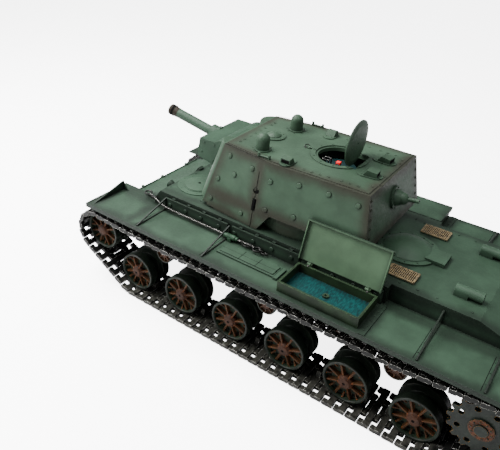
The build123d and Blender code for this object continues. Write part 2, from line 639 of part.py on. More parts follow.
def gun_mantlet():
    """The armoured cover round the gun: a trunnion drum, a boxed front and a recoil housing."""
    drum = rod_y(0, 0, 13.5, -GUN_OPENING_HALF + 1, GUN_OPENING_HALF - 1)
    face = [(-6, -12.5), (25, -11.5), (28.5, -8.0), (28.5, 7.5), (6, 11.5), (-6, 12.0)]
    cover = side_shape(face, -GUN_OPENING_HALF + 1, GUN_OPENING_HALF - 1)
    collar = rod_x(0, 0, 7.5, 20, 36)
    housing = rod_x(0, -9.0, 4.0, 20, 33)
    mantlet = drum + cover + collar + housing
    mantlet -= rod_x(0, 0, BARREL_RADIUS, -20, 60)
    return tip_gun(mantlet)


def gun_barrel():
    """The barrel with its bored muzzle ring, seated in the mantlet."""
    barrel = rod_x(0, 0, BARREL_RADIUS, -10, BARREL_LENGTH)
    barrel += rod_x(0, 0, BARREL_RADIUS + 0.7, BARREL_LENGTH - 5, BARREL_LENGTH)
    barrel -= rod_x(0, 0, BARREL_RADIUS - 1.7, BARREL_LENGTH - 30, BARREL_LENGTH + 1)
    return tip_gun(barrel)


def bullet_dome(x, y):
    """A tall rounded periscope cover on a flange."""
    top = TURRET_ROOF_Z + 0.5
    return dome(x, y, top, 5.6, 5.6, skirt=9) + rod_z(x, y, 7.4, top, top + 0.8)


def vision_hood(x, y, turn, length):
    """A low hood with sloping top on a rounded base plate."""
    top = TURRET_ROOF_Z + 0.5
    base = extrude(SlotCenterToCenter(length, 11.0), amount=0.8)
    profile = [(-length / 2, 0.8), (length / 2 + 2, 0.8), (length / 2 + 2, 4.6), (-length / 2 + 3, 5.4)]
    hood = base + side_shape(profile, -4.2, 4.2)
    return Pos(x, y, top) * Rot(0, 0, turn) * hood


def lifting_hook(x, sign):
    """A bent bar with two upright ends by the roof edge."""
    top = TURRET_ROOF_Z + 0.5
    y = outline_at(TURRET_ROOF_Z)[1][1] - 4.0
    bar = rod_x(y, top + 1.0, 0.8, x - 5, x + 5)
    for end in (x - 5, x + 5):
        bar += rod_z(end, y, 1.1, top, top + 3.4)
    return on_side(bar, sign)


def turret_fittings():
    """Everything fixed on the turret roof."""
    top = TURRET_ROOF_Z + 0.5
    vent_x, vent_y = 54.5, 1.5
    vent = rod_z(vent_x, vent_y, 10.5, top, top + 0.9) + dome(vent_x, vent_y, top + 0.9, 6.5, 2.6)
    fittings = [bullet_dome(47.0, 31.5), bullet_dome(47.0, -24.5), vent]
    fittings += [vision_hood(17.5, 39.3, 90, 6), vision_hood(16.5, -33.0, -90, 6)]
    fittings += [vision_hood(-42.5, 16.0, 185, 9), vision_hood(-41.0, -15.5, 175, 9)]
    return fittings + [lifting_hook(37.0, 1), lifting_hook(36.0, -1)]


def rear_machine_gun():
    """Ball mount, armoured collar and machine gun in the turret's rear wall."""
    wall_x = outline_at(139)[2][0]
    lean = degrees(atan2(BASE_OUTLINE[2][0] - ROOF_OUTLINE[2][0], TURRET_ROOF_Z - TURRET_BASE_Z))
    flange = Cylinder(9.5, 1.8)
    collar = Pos(0, 0, 3.2) * Cone(7.2, 5.2, 4.8)
    ball = Pos(0, 0, 6.0) * Sphere(5.0)
    barrel = Pos(0, 0, 12.0) * Cylinder(1.7, 14)
    gun = flange + collar + ball + barrel - Pos(0, 0, 17.0) * Cylinder(0.9, 6)
    return Pos(wall_x - 1.0, 0, 139) * Rot(0, -90 - lean, 0) * gun


def turret_electronics():
    """The gun's lifting gearbox, and the battle lamp on its tray under the hatch."""
    floor_z = TURRET_BASE_Z + SHELL_WALL
    gearbox = block((48, 66), (-12, 12), (floor_z, 116))
    lamp_top = TURRET_ROOF_Z - 6
    lamp = rod_z(HATCH_X, 0, 2.4, lamp_top - 4, lamp_top)
    tray = rod_z(HATCH_X, 0, 13, lamp_top - 6, lamp_top - 3.5)
    post = block((HATCH_X - 3, HATCH_X + 3), (-3, 3), (floor_z, lamp_top - 5.5))
    shelf = block((HATCH_X + 3, 48), (-3, 3), (floor_z, 106))
    return [gearbox, lamp + tray + post, shelf]


# ---- stowage boxes, cables, fittings ----

def stowage_box():
    """An open box on the left fender with a screw post in the middle of its floor."""
    box = block(BOX_X, BOX_Y, (FENDER_Z, BOX_TOP))
    inside = block((BOX_X[0] + BOX_WALL, BOX_X[1] - BOX_WALL), (BOX_Y[0] + BOX_WALL, BOX_Y[1] - BOX_WALL),
                   (FENDER_Z + 1.2, BOX_TOP + 1))
    box -= inside
    middle = ((BOX_X[0] + BOX_X[1]) / 2, (BOX_Y[0] + BOX_Y[1]) / 2)
    box += rod_z(middle[0], middle[1], 2.4, FENDER_Z + 1, FENDER_Z + 2.6)
    box -= rod_z(middle[0], middle[1], 1.1, FENDER_Z + 1.6, FENDER_Z + 4)
    for x in (BOX_X[0] + 9, BOX_X[1] - 9):
        box += lid_hinge_ear(x)
    return box


def lid_hinge_ear(x):
    """A pin on a short post behind the box, for one of the lid's hinge loops."""
    y, z = LID_AXIS
    across = (x - 2.4, x - 1.2)
    foot = block(across, (y - 1.2, BOX_Y[0] + 0.5), (BOX_TOP - 4, BOX_TOP))
    post = block(across, (y - 1.2, BOX_Y[0] - 0.1), (BOX_TOP - 4, z + 0.9))
    return foot + post + rod_x(y, z, 0.6, x - 2.0, x + 2.4)


def stowage_lid(opened):
    """A pressed lid with turned-down edges and two hinge loops, turned about its hinge line."""
    y, z = LID_AXIS
    x0, x1 = BOX_X[0] - 1.2, BOX_X[1] + 1.2
    y1 = BOX_Y[1] + 1.3
    top = z + 1.6
    skin = 0.9
    lid = block((x0, x1), (y + 1.6, y1), (top - skin, top))
    for edge_x in ((x0, x0 + skin), (x1 - skin, x1)):
        lid += block(edge_x, (y + 2.0, y1), (top - 3.4, top - skin / 2))
    lid += block((x0, x1), (y1 - skin, y1), (top - 3.4, top - skin / 2))
    for x in (BOX_X[0] + 9, BOX_X[1] - 9):
        loop = rod_x(y, z, 1.1, x - 0.8, x + 2.0)
        loop += block((x - 0.8, x + 2.0), (y, y + 2.6), (z + 0.5, top - 0.2))
        lid += loop - rod_x(y, z, 0.65, x - 2, x + 3)
    return Pos(0, y, z) * Rot(opened, 0, 0) * Pos(0, -y, -z) * lid


def tow_cable():
    """The left tow cable along the inner edge of the fender, with an eye at each end."""
    radius = 1.0
    y = SIDE_PLATE_OUT + 3.0
    route = [(150.5, 58.6, 88.8), (140.0, 62.0, 88.6), (128.0, y + 0.4, 87.0), (92.0, y - 0.3, 86.2),
             (56.0, y + 0.2, 86.4), (26.0, y, 86.2)]
    turns = bend_radii(route)
    line = FilletPolyline(*route, radius=turns)
    cable = sweep(Plane(origin=line @ 0, z_dir=line % 0) * Circle(radius), path=line)
    eyes = []
    for (x, ey, ez), step in ((route[0], 3.6), (route[-1], -3.6)):
        ring = Pos(x + step, ey + (-1.2 if step > 0 else 1.5), ez) * Torus(3.2, 1.0)
        eyes.append(ring)
    for eye in eyes:
        cable += eye
    return cable


def bend_radii(route):
    """The largest arc that each corner's two runs leave room for."""
    radii = []
    for a, b, c in zip(route, route[1:], route[2:]):
        first = Vector(*b) - Vector(*a)
        second = Vector(*c) - Vector(*b)
        turn = radians(first.get_angle(second))
        radii.append(0.45 * min(first.length, second.length) / tan(turn / 2))
    print("cable radii", [round(r) for r in radii])
    return radii


def driver_hatch():
    """The driver's round hatch: a flat ring and a slightly crowned lid."""
    x, y = 115.7, 27.2
    ring_r, lid_r = 21.0, 15.0
    lid_z = ROOF_Z + 1.1
    hatch = rod_z(x, y, ring_r, ROOF_Z, ROOF_Z + 0.7) + rod_z(x, y, lid_r, ROOF_Z, lid_z)
    return hatch + dome(x, y, lid_z, lid_r - 1, 0.9)


def engine_cover():
    """The domed engine hatch with its air intake, clear of the turning turret."""
    x = -80.0
    foot_r, dome_r = 24.5, 20.0
    lid_z = ROOF_Z + 1.4
    cover = rod_z(x, 0, foot_r, ROOF_Z, lid_z) + dome(x, 0, lid_z, dome_r, 7.5)
    cover -= rod_z(TURRET_X, 0, TURRET_SWEEP, ROOF_Z - 1, ROOF_Z + 20)
    return cover + block((-112, -95), (-9, 9), (ROOF_Z, ROOF_Z + 3.5))


def exhaust(y, z):
    """A short exhaust pipe in its armoured foot on the engine deck."""
    pipe = rod_x(y, z, 4.0, -148, -128)
    return pipe + block((-138, -128), (y - 4, y + 4), (ROOF_Z, z))


def deck_fittings():
    """Hatches, screens and small gear fixed on the hull roof and the nose."""
    pieces = [driver_hatch(), engine_cover()]
    pieces += both_sides(block((-101, -79), (30.4, 45), (ROOF_Z, ROOF_Z + 1.2)))
    pieces += both_sides(exhaust(33, ROOF_Z + 4.2))
    pieces += both_sides(block((182, 187), (38, 42), (60, 66)))
    return pieces


def drive_units():
    """Left and right gear motors that turn the sprockets."""
    x = -SPROCKET_X
    motor_r, motor_length = 9.5, 37.0
    box = block((x - 7, x + 22), (24, HULL_HALF - WALL - 1), (45, 68))
    unit = box + rod_x(34, 56, motor_r, x + 21, x + 21 + motor_length)
    unit -= rod_y(x, SPROCKET_Z, AXLE_RADIUS + FIT, HULL_HALF - 9.5, HULL_HALF)
    return both_sides(unit)


def battery_pack():
    """A block of cells on the hull floor, ahead of the middle."""
    return block((60, 130), (-22, 22), (HULL_FLOOR + WALL, 54))


def control_board():
    """The receiver and motor board on two posts, with one large component."""
    board = block((-60, 40), (-40, 40), (60, 62)) + block((-20, 10), (-15, 15), (61.5, 66))
    for x, y in ((-48, -34), (32, 34)):
        board += block((x - 2, x + 2), (y - 2, y + 2), (HULL_FLOOR + WALL, 61))
    return board


def sound_and_smoke_units():
    """The loudspeaker, cone up behind the board, and the smoke generator's box below the exhausts."""
    x = -75
    magnet_r, basket_r = 16, 20
    speaker = rod_z(x, 0, magnet_r, HULL_FLOOR + WALL, 42) + rod_z(x, 0, basket_r, 41, 45)
    return [speaker, block((-145, -115), (-14, 14), (HULL_FLOOR + WALL, 40))]


def turret_motor():
    """The turning gear motor, upright, with its shaft up through the pinion."""
    can_r = 8.0
    shaft_r = 1.5
    motor = rod_z(pinion_x(), 0, can_r, 56, GEAR_Z[0] - 2)
    return motor + rod_z(pinion_x(), 0, shaft_r, GEAR_Z[0] - 3, GEAR_Z[1] + 2)


def power_switch():
    """A sliding switch knob in the floor plate's slot."""
    x = -8.0
    inside = HULL_FLOOR + WALL
    knob = block((x - 3, x + 3), (-2.2, 2.2), (HULL_FLOOR - 1.5, inside + 1))
    return knob + block((x - 4.5, x + 4.5), (-4.5, 4.5), (inside + 0.4, inside + 1.8))


def main():
    os.makedirs("parts", exist_ok=True)
    for side, sign in SIDES:
        for i, x in enumerate(wheel_xs(), start=1):
            save(f"road_wheel_{side}_{i}", on_side(spoked_wheel(x, WHEEL_Z, WHEEL_RADIUS), sign))
            save(f"swing_arm_{side}_{i}", on_side(swing_arm(x), sign))
        for i, x in enumerate(ROLLER_XS, start=1):
            save(f"return_roller_{side}_{i}", on_side(return_roller(x), sign))
        save(f"idler_{side}", on_side(spoked_wheel(IDLER_X, IDLER_Z, IDLER_RADIUS), sign))
        save(f"sprocket_{side}", on_side(sprocket(), sign))
        save(f"track_{side}", [on_side(link, sign) for link in track()])
    save("stowage_boxes", both_sides(stowage_box()))
    save("stowage_lid_left", stowage_lid(LID_OPEN))
    save("stowage_lid_right", on_side(stowage_lid(0), -1))
    save("tow_cables", both_sides(tow_cable()))
    single = (lower_hull, axle_pins, upper_hull, fender_brackets, drive_units, battery_pack,
              control_board, sound_and_smoke_units, turret_motor, turret_pinion, turret_base,
              turret_shell, commander_hatch, gun_mantlet, gun_barrel, turret_fittings,
              turret_electronics, rear_machine_gun, deck_fittings, power_switch)
    for piece in single:
        save(piece.__name__, piece())


main()
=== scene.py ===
import math

import bmesh
import bpy
from mathutils import Matrix, Vector


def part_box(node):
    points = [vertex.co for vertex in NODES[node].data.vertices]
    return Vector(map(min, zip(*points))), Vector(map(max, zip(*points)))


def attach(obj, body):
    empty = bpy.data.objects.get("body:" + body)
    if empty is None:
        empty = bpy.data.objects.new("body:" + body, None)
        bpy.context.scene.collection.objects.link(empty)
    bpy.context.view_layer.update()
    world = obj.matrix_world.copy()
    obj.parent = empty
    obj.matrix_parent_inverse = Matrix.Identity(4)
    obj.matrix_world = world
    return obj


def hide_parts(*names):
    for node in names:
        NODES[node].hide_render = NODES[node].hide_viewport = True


# Looks of the remote control tank. Lengths are millimetres in the CAD frame until a mesh is finished,
# and metres for the lamps and the floor.
MM = 0.001
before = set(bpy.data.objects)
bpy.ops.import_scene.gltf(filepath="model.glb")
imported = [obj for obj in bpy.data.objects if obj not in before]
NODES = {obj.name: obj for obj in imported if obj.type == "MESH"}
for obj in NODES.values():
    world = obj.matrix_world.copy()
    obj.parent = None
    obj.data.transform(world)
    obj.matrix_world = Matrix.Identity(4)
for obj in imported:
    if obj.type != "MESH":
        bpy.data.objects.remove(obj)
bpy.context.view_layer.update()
SIDES = (("left", 1), ("right", -1))

# Places that the looks share with the CAD.
FENDER_TOP = 83.0
DECK_TOP = 98.0
HATCH_X = -8.5
TRUNNION = Vector((88.0, 0, 136.4))
GUN_ELEVATION = math.radians(10.2)
MANTLET_HALF = 30.0
REAR_GUN_Z = 139.0

# Where rays towards the turret start: over it, beside it and behind it.
ABOVE_ROOF = 190
BESIDE = 120
BEHIND = -110


def node_box(name):
    """Lowest and highest corner of a CAD node, in millimetres."""
    low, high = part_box(name)
    return Vector(low) / MM, Vector(high) / MM


def on_surface(node, start, direction):
    """Where a ray meets a CAD node: the point, in millimetres, and the surface's normal."""
    hit, point, normal, _ = NODES[node].ray_cast(Vector(start) * MM, Vector(direction).normalized())
    if not hit:
        raise ValueError(f"nothing of {node} lies that way from {start}")
    if normal.dot(Vector(direction)) > 0:
        normal = -normal
    return point / MM, normal


# ---- materials ----

def rgb(red, green, blue):
    """A colour given as display values from 0 to 255, as linear values."""
    shares = [v / 255 for v in (red, green, blue)]
    return tuple(v / 12.92 if v <= 0.04 else ((v + 0.055) / 1.055) ** 2.4 for v in shares)


class Finish:
    """A procedural material and short ways to add its nodes."""

    def __init__(self, name, metallic=0.0, specular=0.5, coat=0.0):
        self.material = bpy.data.materials.new(name)
        self.material.use_nodes = True
        self.tree = self.material.node_tree
        self.shader = self.tree.nodes["Principled BSDF"]
        self.shader.inputs["Metallic"].default_value = metallic
        self.shader.inputs["Specular IOR Level"].default_value = specular
        self.shader.inputs["Coat Weight"].default_value = coat
        self.place = self.node("ShaderNodeTexCoord").outputs["Object"]
        self.normal = None

    def node(self, kind, **values):
        """A new shader node with its settings."""
        made = self.tree.nodes.new(kind)
        for name, value in values.items():
            setattr(made, name, value)
        return made

    def link(self, value, socket):
        """Set a socket to a constant, or join another node's output to it."""
        if isinstance(value, (int, float)):
            socket.default_value = value
        elif isinstance(value, tuple):
            opaque = len(socket.default_value) == 4 and len(value) == 3
            socket.default_value = value + (1,) if opaque else value
        else:
            self.tree.links.new(value, socket)

    def math(self, operation, *values, clamp=False):
        """The result of one operation on numbers or outputs."""
        made = self.node("ShaderNodeMath", operation=operation, use_clamp=clamp)
        for value, socket in zip(values, made.inputs):
            self.link(value, socket)
        return made.outputs[0]

    def between(self, value, low, high, start=0.0, end=1.0):
        """start up to low, end from high, smooth on the way."""
        made = self.node("ShaderNodeMapRange", interpolation_type="SMOOTHSTEP")
        for item, socket in zip((value, low, high, start, end), made.inputs):
            self.link(item, socket)
        return made.outputs[0]

    def noise(self, size, detail=3.0, stretch=(1, 1, 1), roughness=0.55):
        """Soft noise from 0 to 1 whose blotches are about size millimetres."""
        scaled = self.node("ShaderNodeVectorMath", operation="MULTIPLY")
        self.link(self.place, scaled.inputs[0])
        scaled.inputs[1].default_value = [1 / (size * MM * s) for s in stretch]
        made = self.node("ShaderNodeTexNoise")
        self.link(scaled.outputs[0], made.inputs["Vector"])
        made.inputs["Scale"].default_value = 1
        made.inputs["Detail"].default_value = detail
        made.inputs["Roughness"].default_value = roughness
        return made.outputs["Fac"]

    def mix(self, factor, first, second):
        """first where the factor is 0, second where it is 1."""
        made = self.node("ShaderNodeMix", data_type="RGBA")
        self.link(factor, made.inputs[0])
        self.link(first, made.inputs[6])
        self.link(second, made.inputs[7])
        return made.outputs[2]

    def edges(self, reach, inside=True):
        """1 along outer edges, or with inside off in corners and under things, 0 on open faces."""
        made = self.node("ShaderNodeAmbientOcclusion", inside=inside, samples=6, only_local=inside)
        made.inputs["Distance"].default_value = reach * MM
        return self.math("SUBTRACT", 1.0, made.outputs["AO"], clamp=True)

    def axis(self, name, mirrored=False):
        """One coordinate of the surface point, in millimetres."""
        made = self.node("ShaderNodeSeparateXYZ")
        self.link(self.place, made.inputs[0])
        value = self.math("DIVIDE", made.outputs[name], MM)
        return self.math("ABSOLUTE", value) if mirrored else value

    def facing(self, axis):
        """How far a surface faces along an axis, from -1 to 1."""
        made = self.node("ShaderNodeSeparateXYZ")
        self.link(self.node("ShaderNodeTexCoord").outputs["Normal"], made.inputs[0])
        return made.outputs[axis]

    def plane(self, points, bilateral=True):
        """Distance in millimetres from the plane through three points, of the left side if bilateral."""
        a, b, c = (Vector(p) for p in points)
        normal = (b - a).cross(c - a).normalized()
        total = None
        for name, part in zip("XYZ", normal):
            if abs(part) < 1e-4:
                continue
            term = self.math("MULTIPLY", self.axis(name, bilateral and name == "Y"), part)
            total = term if total is None else self.math("ADD", total, term)
        return self.math("ABSOLUTE", self.math("SUBTRACT", total, normal.dot(a)))

    def level(self, name, values):
        """Distance from the nearest of several levels of one coordinate."""
        place = self.axis(name, name == "Y")
        best = None
        for value in values:
            away = self.math("ABSOLUTE", self.math("SUBTRACT", place, value))
            best = away if best is None else self.math("MINIMUM", best, away)
        return best

    def second_nearest(self, distances):
        """On a surface that is made of these planes, the distance from its nearest edge."""
        low, high = distances[0], 1000.0
        for away in distances[1:]:
            high = self.math("MINIMUM", self.math("MAXIMUM", low, away), high)
            low = self.math("MINIMUM", low, away)
        return high

    def bump(self, height, depth, rounding=0.25):
        """Fine relief of depth millimetres on edges that catch the light."""
        made = self.node("ShaderNodeBump")
        made.inputs["Strength"].default_value = 1.0
        made.inputs["Distance"].default_value = depth * MM
        self.link(height, made.inputs["Height"])
        if rounding:
            bevel = self.node("ShaderNodeBevel", samples=4)
            bevel.inputs["Radius"].default_value = rounding * MM
            self.link(bevel.outputs[0], made.inputs["Normal"])
        self.link(made.outputs[0], self.shader.inputs["Normal"])

    def done(self, colour, roughness):
        """The finished material."""
        self.link(colour, self.shader.inputs["Base Color"])
        self.link(roughness, self.shader.inputs["Roughness"])
        return self.material


BROWN = rgb(29, 26, 20)
# Painted shade for corners, undersides and faces that do not face up.
PAINTED_SHADE = rgb(8, 9, 8)
# A lighter grey for the lowest parts.
LOW_GREY = rgb(74, 73, 66)


def paint(name, green, edge_of=None, reach=9.0, strength=0.85, shade=BROWN, walls=0.0, outside=None):
    """Matt sprayed green, misted with shade along plates' edges, with painted shade in corners and under
    things, painted shade on faces that do not face up if asked, and rubbed edges.
    """
    f = Finish(name, specular=0.12)
    broad = f.noise(22, 4)
    fine = f.noise(2.2, 5, roughness=0.65)
    darker = tuple(v * 0.8 for v in green)
    lighter = tuple(min(1.0, v * 1.16) for v in green)
    colour = f.mix(f.between(broad, 0.3, 0.72), darker, lighter)
    if outside:
        colour = f.mix(f.between(f.facing("Y"), -0.2, 0.2, 1.0, 0.0), colour, outside)
    if edge_of:
        away = f.math("ADD", edge_of(f), f.math("MULTIPLY", f.math("SUBTRACT", broad, 0.5), 9.0))
        mist = f.math("MULTIPLY", f.between(away, 0.5, reach, 1.0, 0.0), strength)
        colour = f.mix(mist, colour, shade)
    # Painted shade in corners and under things.
    corner_shade = f.math("MULTIPLY", f.edges(3.5, inside=False), 0.75)
    colour = f.mix(corner_shade, colour, PAINTED_SHADE)
    # Painted shade on faces that do not face up, as strong as walls.
    if walls:
        colour = f.mix(f.between(f.facing("Z"), 0.1, 0.5, walls, 0.0), colour, PAINTED_SHADE)
    worn = f.math("MULTIPLY", f.between(f.edges(0.45), 0.25, 0.6), f.between(fine, 0.46, 0.62))
    colour = f.mix(f.math("MULTIPLY", worn, 0.5), colour, tuple(min(1.0, v * 1.9 + 0.02) for v in green))
    f.bump(fine, 0.05)
    return f.done(colour, f.between(fine, 0.2, 0.8, 0.43, 0.62))


def turret_edges(f):
    """Distance from the nearest edge or seam of the turret's plates."""
    low, high = node_box("turret_shell")
    roof, foot, bustle = high.z - 1.3, low.z, 113.5
    front = f.plane(((79.25, 42, roof), (94.3, 52.7, foot), (79.25, -42, roof)), False)
    rear = f.plane(((-56.75, 46.5, roof), (-66.4, 57.3, foot), (-56.75, -46.5, roof)), False)
    side = f.math("MINIMUM", f.plane(((79.25, 42, roof), (32.75, 48.5, roof), (36.5, 58, foot))),
                  f.plane(((32.75, 48.5, roof), (-56.75, 46.5, roof), (36.5, 58, foot))))
    top = f.level("Z", (roof, roof + 0.5))
    away = f.second_nearest([side, top, front, rear, f.level("Z", (foot, bustle))])
    seam = f.math("ADD", f.level("X", (37.0,)), f.between(f.axis("Z"), roof - 1, roof, 0.0, 60.0))
    slant = f.math("MULTIPLY", f.math("SUBTRACT", f.axis("Z"), roof), 15.0 / (roof - foot))
    front = f.between(f.math("ADD", f.axis("X"), slant), 77.5, 81.0, 0.0, 60.0)
    return f.math("ADD", f.math("MINIMUM", away, seam), front)


def hull_edges(f):
    """Distance from the nearest edge of the fenders, side plates, roof and deck."""
    sides = f.level("Y", (103.75, 62.8, 54.0, 60.0))
    tops = f.level("Z", (83.0, 95.0, 98.0))
    ends = f.level("X", (192.0, 185.0, 140.0, -88.0, -196.0))
    return f.second_nearest([sides, tops, ends])


def lid_edges(f):
    """Distance from the edges of the open stowage lid."""
    return f.math("MINIMUM", f.level("X", (-12.0, -89.0)), f.level("Z", (128.0, 90.0)))


def bare_metal(name, dark, bright, wear_and_glint=0.5, grain=1.5, roughness=0.5, metallic=0.6, reach=0.55, low_grey=0.0):
    """Blackened or rusty metal with bright rubbed edges that also serve as painted glints, and a lighter grey
    on the parts that lie lowest.
    """
    f = Finish(name, metallic=metallic, specular=0.14)
    broad = f.noise(9, 4)
    fine = f.noise(grain, 5, roughness=0.7)
    colour = f.mix(f.between(broad, 0.3, 0.7), tuple(v * 0.6 for v in dark), tuple(v * 1.35 for v in dark))
    # Bright rubbed metal along edges, which also stands in for painted glints.
    wear_and_glint_mask = f.math("MULTIPLY", f.between(f.edges(reach), 0.22, 0.55), f.between(fine, 0.42, 0.56))
    wear_and_glint_mask = f.math("MULTIPLY", wear_and_glint_mask, wear_and_glint, clamp=True)
    # Lighter grey, broken by noise, on parts lower than 8 to 14 mm.
    if low_grey:
        low_grey_mask = f.math("MULTIPLY", f.between(f.axis("Z"), 8.0, 14.0, low_grey, 0.0), f.between(fine, 0.3, 0.6))
        colour = f.mix(low_grey_mask, colour, LOW_GREY)
    colour = f.mix(wear_and_glint_mask, colour, bright)
    f.bump(fine, 0.08)
    return f.done(colour, f.math("SUBTRACT", f.between(fine, 0.2, 0.8, roughness - 0.08, roughness + 0.16),
                                 f.math("MULTIPLY", wear_and_glint_mask, 0.18)))


def plain(name, colour, roughness=0.5, grain=1.2, relief=0.03, metallic=0.0, coat=0.0, glow=0.0,
          variation=0.15, specular=0.5):
    """A moulded, wrapped or cast surface with slight variation."""
    f = Finish(name, metallic=metallic, specular=specular, coat=coat)
    fine = f.noise(grain, 4)
    shade = f.mix(f.between(f.noise(14, 3), 0.3, 0.7), tuple(v * (1 - variation) for v in colour),
                  tuple(min(1.0, v * (1 + variation)) for v in colour))
    if glow:
        f.shader.inputs["Emission Color"].default_value = colour + (1,)
        f.shader.inputs["Emission Strength"].default_value = glow
    f.bump(fine, relief)
    return f.done(shade, f.between(fine, 0.2, 0.8, roughness - 0.06, roughness + 0.1))


def box_paint():
    """The stowage box: pale green walls and a teal floor with brush strokes."""
    f = Finish("box_paint", specular=0.12)
    floor = node_box("stowage_boxes")[0].z + 1.7
    strokes = f.noise(1.0, 4, stretch=(0.8, 4.0, 1.0), roughness=0.7)
    fine = f.noise(2.0, 4)
    green = f.mix(f.between(f.noise(16, 4), 0.3, 0.7), rgb(14, 23, 13), rgb(25, 40, 23))
    worn = f.math("MULTIPLY", f.between(f.edges(0.5), 0.2, 0.5), f.between(fine, 0.4, 0.55))
    green = f.mix(f.math("MULTIPLY", worn, 0.6), green, rgb(70, 92, 66))
    teal = f.mix(f.between(strokes, 0.35, 0.66), rgb(0, 20, 21), rgb(0, 50, 49))
    up = f.between(f.facing("Z"), 0.4, 0.8)
    low = f.between(f.axis("Z"), floor, floor + 0.3, 1.0, 0.0)
    colour = f.mix(f.math("MULTIPLY", up, low), green, teal)
    # Painted shade in the box's corners and under its rim.
    colour = f.mix(f.math("MULTIPLY", f.edges(8.0, inside=False), 0.8), colour, PAINTED_SHADE)
    f.bump(strokes, 0.05)
    return f.done(colour, 0.5)


def mesh_screen():
    """The brown mesh over the engine's air intakes."""
    f = Finish("screen_paint", specular=0.4)
    fine = f.noise(1.4, 5)
    colour = f.mix(f.between(fine, 0.35, 0.65), rgb(52, 44, 28), rgb(104, 88, 58))
    f.bump(fine, 0.1)
    return f.done(colour, 0.65)


TURRET_PAINT = paint("turret_paint", rgb(39, 55, 42), turret_edges, 12.0)
# The hull's paint darkens towards plate edges and the fenders' inner corners, and has painted shade on faces
# that do not face up.
HULL_PAINT = paint("hull_paint", rgb(34, 50, 38), hull_edges, 10.0, 0.7, rgb(14, 20, 15), 0.3)
DECK_PAINT = paint("deck_paint", rgb(39, 56, 43))
FITTING_PAINT = paint("fitting_paint", rgb(37, 53, 40))
GUN_PAINT = paint("gun_paint", rgb(34, 52, 39))
LID_PAINT = paint("lid_paint", rgb(52, 70, 52), lid_edges, 5.0, 0.45, rgb(20, 23, 18),
                  outside=rgb(34, 50, 38))
TUB_PAINT = paint("tub_paint", rgb(11, 16, 12))
# A darker copy of the hull's green: painted shade on the fender brackets under the fenders.
SHADED_BRACKET_PAINT = paint("shaded_bracket_paint", rgb(14, 21, 15))
CLAMP_PAINT = paint("clamp_paint", rgb(31, 53, 37))
# The track's bright edge colour is partly worn metal and partly painted glints.
TRACK_METAL = bare_metal("track_metal", rgb(13, 13, 12), rgb(226, 224, 216), 0.8, 4.0, 0.42, 0.3, 0.3, 0.4)
RIM_PAINT = bare_metal("rim_paint", rgb(12, 18, 12), rgb(196, 136, 62), 0.7, 1.6, 0.45, 0.0, 0.2)
RIB_RUST = bare_metal("rib_rust", rgb(40, 23, 6), rgb(146, 66, 6), 0.9, 1.0, 0.62, 0.0, 0.3)
WEB_PAINT = bare_metal("web_paint", rgb(15, 25, 14), rgb(84, 48, 14), 0.6, 1.4, 0.6, 0.0, 0.5)
HUB_BROWN = bare_metal("hub_brown", rgb(40, 21, 10), rgb(92, 48, 20), 0.4, 0.9, 0.6, 0.1)
ARM_RUST = bare_metal("arm_rust", rgb(46, 30, 20), rgb(88, 61, 40), 0.4, 1.4, 0.7, 0.1)
DARK_STEEL = bare_metal("dark_steel", rgb(34, 34, 33), rgb(186, 184, 178), 0.7, 0.6, 0.4, 0.9, 0.3)
# The ropes' bright edge colour is partly worn metal and partly painted glints.
ROPE_STEEL = bare_metal("rope_steel", rgb(24, 24, 23), rgb(196, 194, 188), 0.6, 0.5, 0.36, 0.9, 0.3)
SHADOW_BLACK = plain("shadow_black", rgb(4, 4, 4), 0.9, specular=0.05)
MOTOR_STEEL = plain("motor_steel", rgb(150, 152, 154), 0.32, 0.8, 0.02, 0.9)
BATTERY_WRAP = plain("battery_wrap", rgb(34, 48, 110), 0.28, 6.0, 0.05, coat=0.4)
BOARD_GREEN = plain("board_green", rgb(20, 78, 44), 0.4, 1.0, 0.05)
BLACK_PLASTIC = plain("black_plastic", rgb(26, 27, 28), 0.55)
WHITE_NYLON = plain("white_nylon", rgb(216, 212, 200), 0.45)
LAMP_RED = plain("lamp_red", rgb(190, 3, 2), 0.3, glow=0.5, variation=0.05)
HATCH_TEAL = plain("hatch_teal", rgb(0, 27, 28), 0.4, 1.0, 0.1, variation=0.4)
MUZZLE_BROWN = bare_metal("muzzle_brown", rgb(34, 29, 22), rgb(84, 74, 60), 0.5, 1.0, 0.6, 0.4)

BY_NODE = {
    "lower_hull": TUB_PAINT, "upper_hull": HULL_PAINT, "fender_brackets": SHADED_BRACKET_PAINT,
    "drive_units": MOTOR_STEEL, "battery_pack": BATTERY_WRAP, "control_board": BOARD_GREEN,
    "sound_and_smoke_units": BLACK_PLASTIC, "axle_pins": ARM_RUST, "turret_motor": MOTOR_STEEL,
    "turret_pinion": WHITE_NYLON, "turret_base": BLACK_PLASTIC, "turret_shell": TURRET_PAINT,
    "commander_hatch": FITTING_PAINT, "gun_mantlet": GUN_PAINT, "gun_barrel": GUN_PAINT,
    "turret_fittings": FITTING_PAINT, "turret_electronics": BLACK_PLASTIC, "rear_machine_gun": FITTING_PAINT,
    "stowage_boxes": box_paint(), "stowage_lid_left": LID_PAINT, "stowage_lid_right": HULL_PAINT,
    "deck_fittings": DECK_PAINT, "power_switch": BLACK_PLASTIC, "tow_cables": ROPE_STEEL,
}


def paint_nodes():
    """Give every CAD node that stays in view its finish."""
    starts = {"swing": ARM_RUST, "track": TRACK_METAL}
    for name, node in NODES.items():
        finish = BY_NODE.get(name) or starts.get(name.split("_")[0], RIM_PAINT)
        node.data.materials.clear()
        node.data.materials.append(finish)


# ---- mesh building ----

def facing(point, normal, turn=0.0):
    """A place at a point whose Z axis runs along the normal."""
    spin = Vector(normal).to_track_quat("Z", "Y").to_matrix().to_4x4() @ Matrix.Rotation(turn, 4, "Z")
    return Matrix.Translation(Vector(point)) @ spin


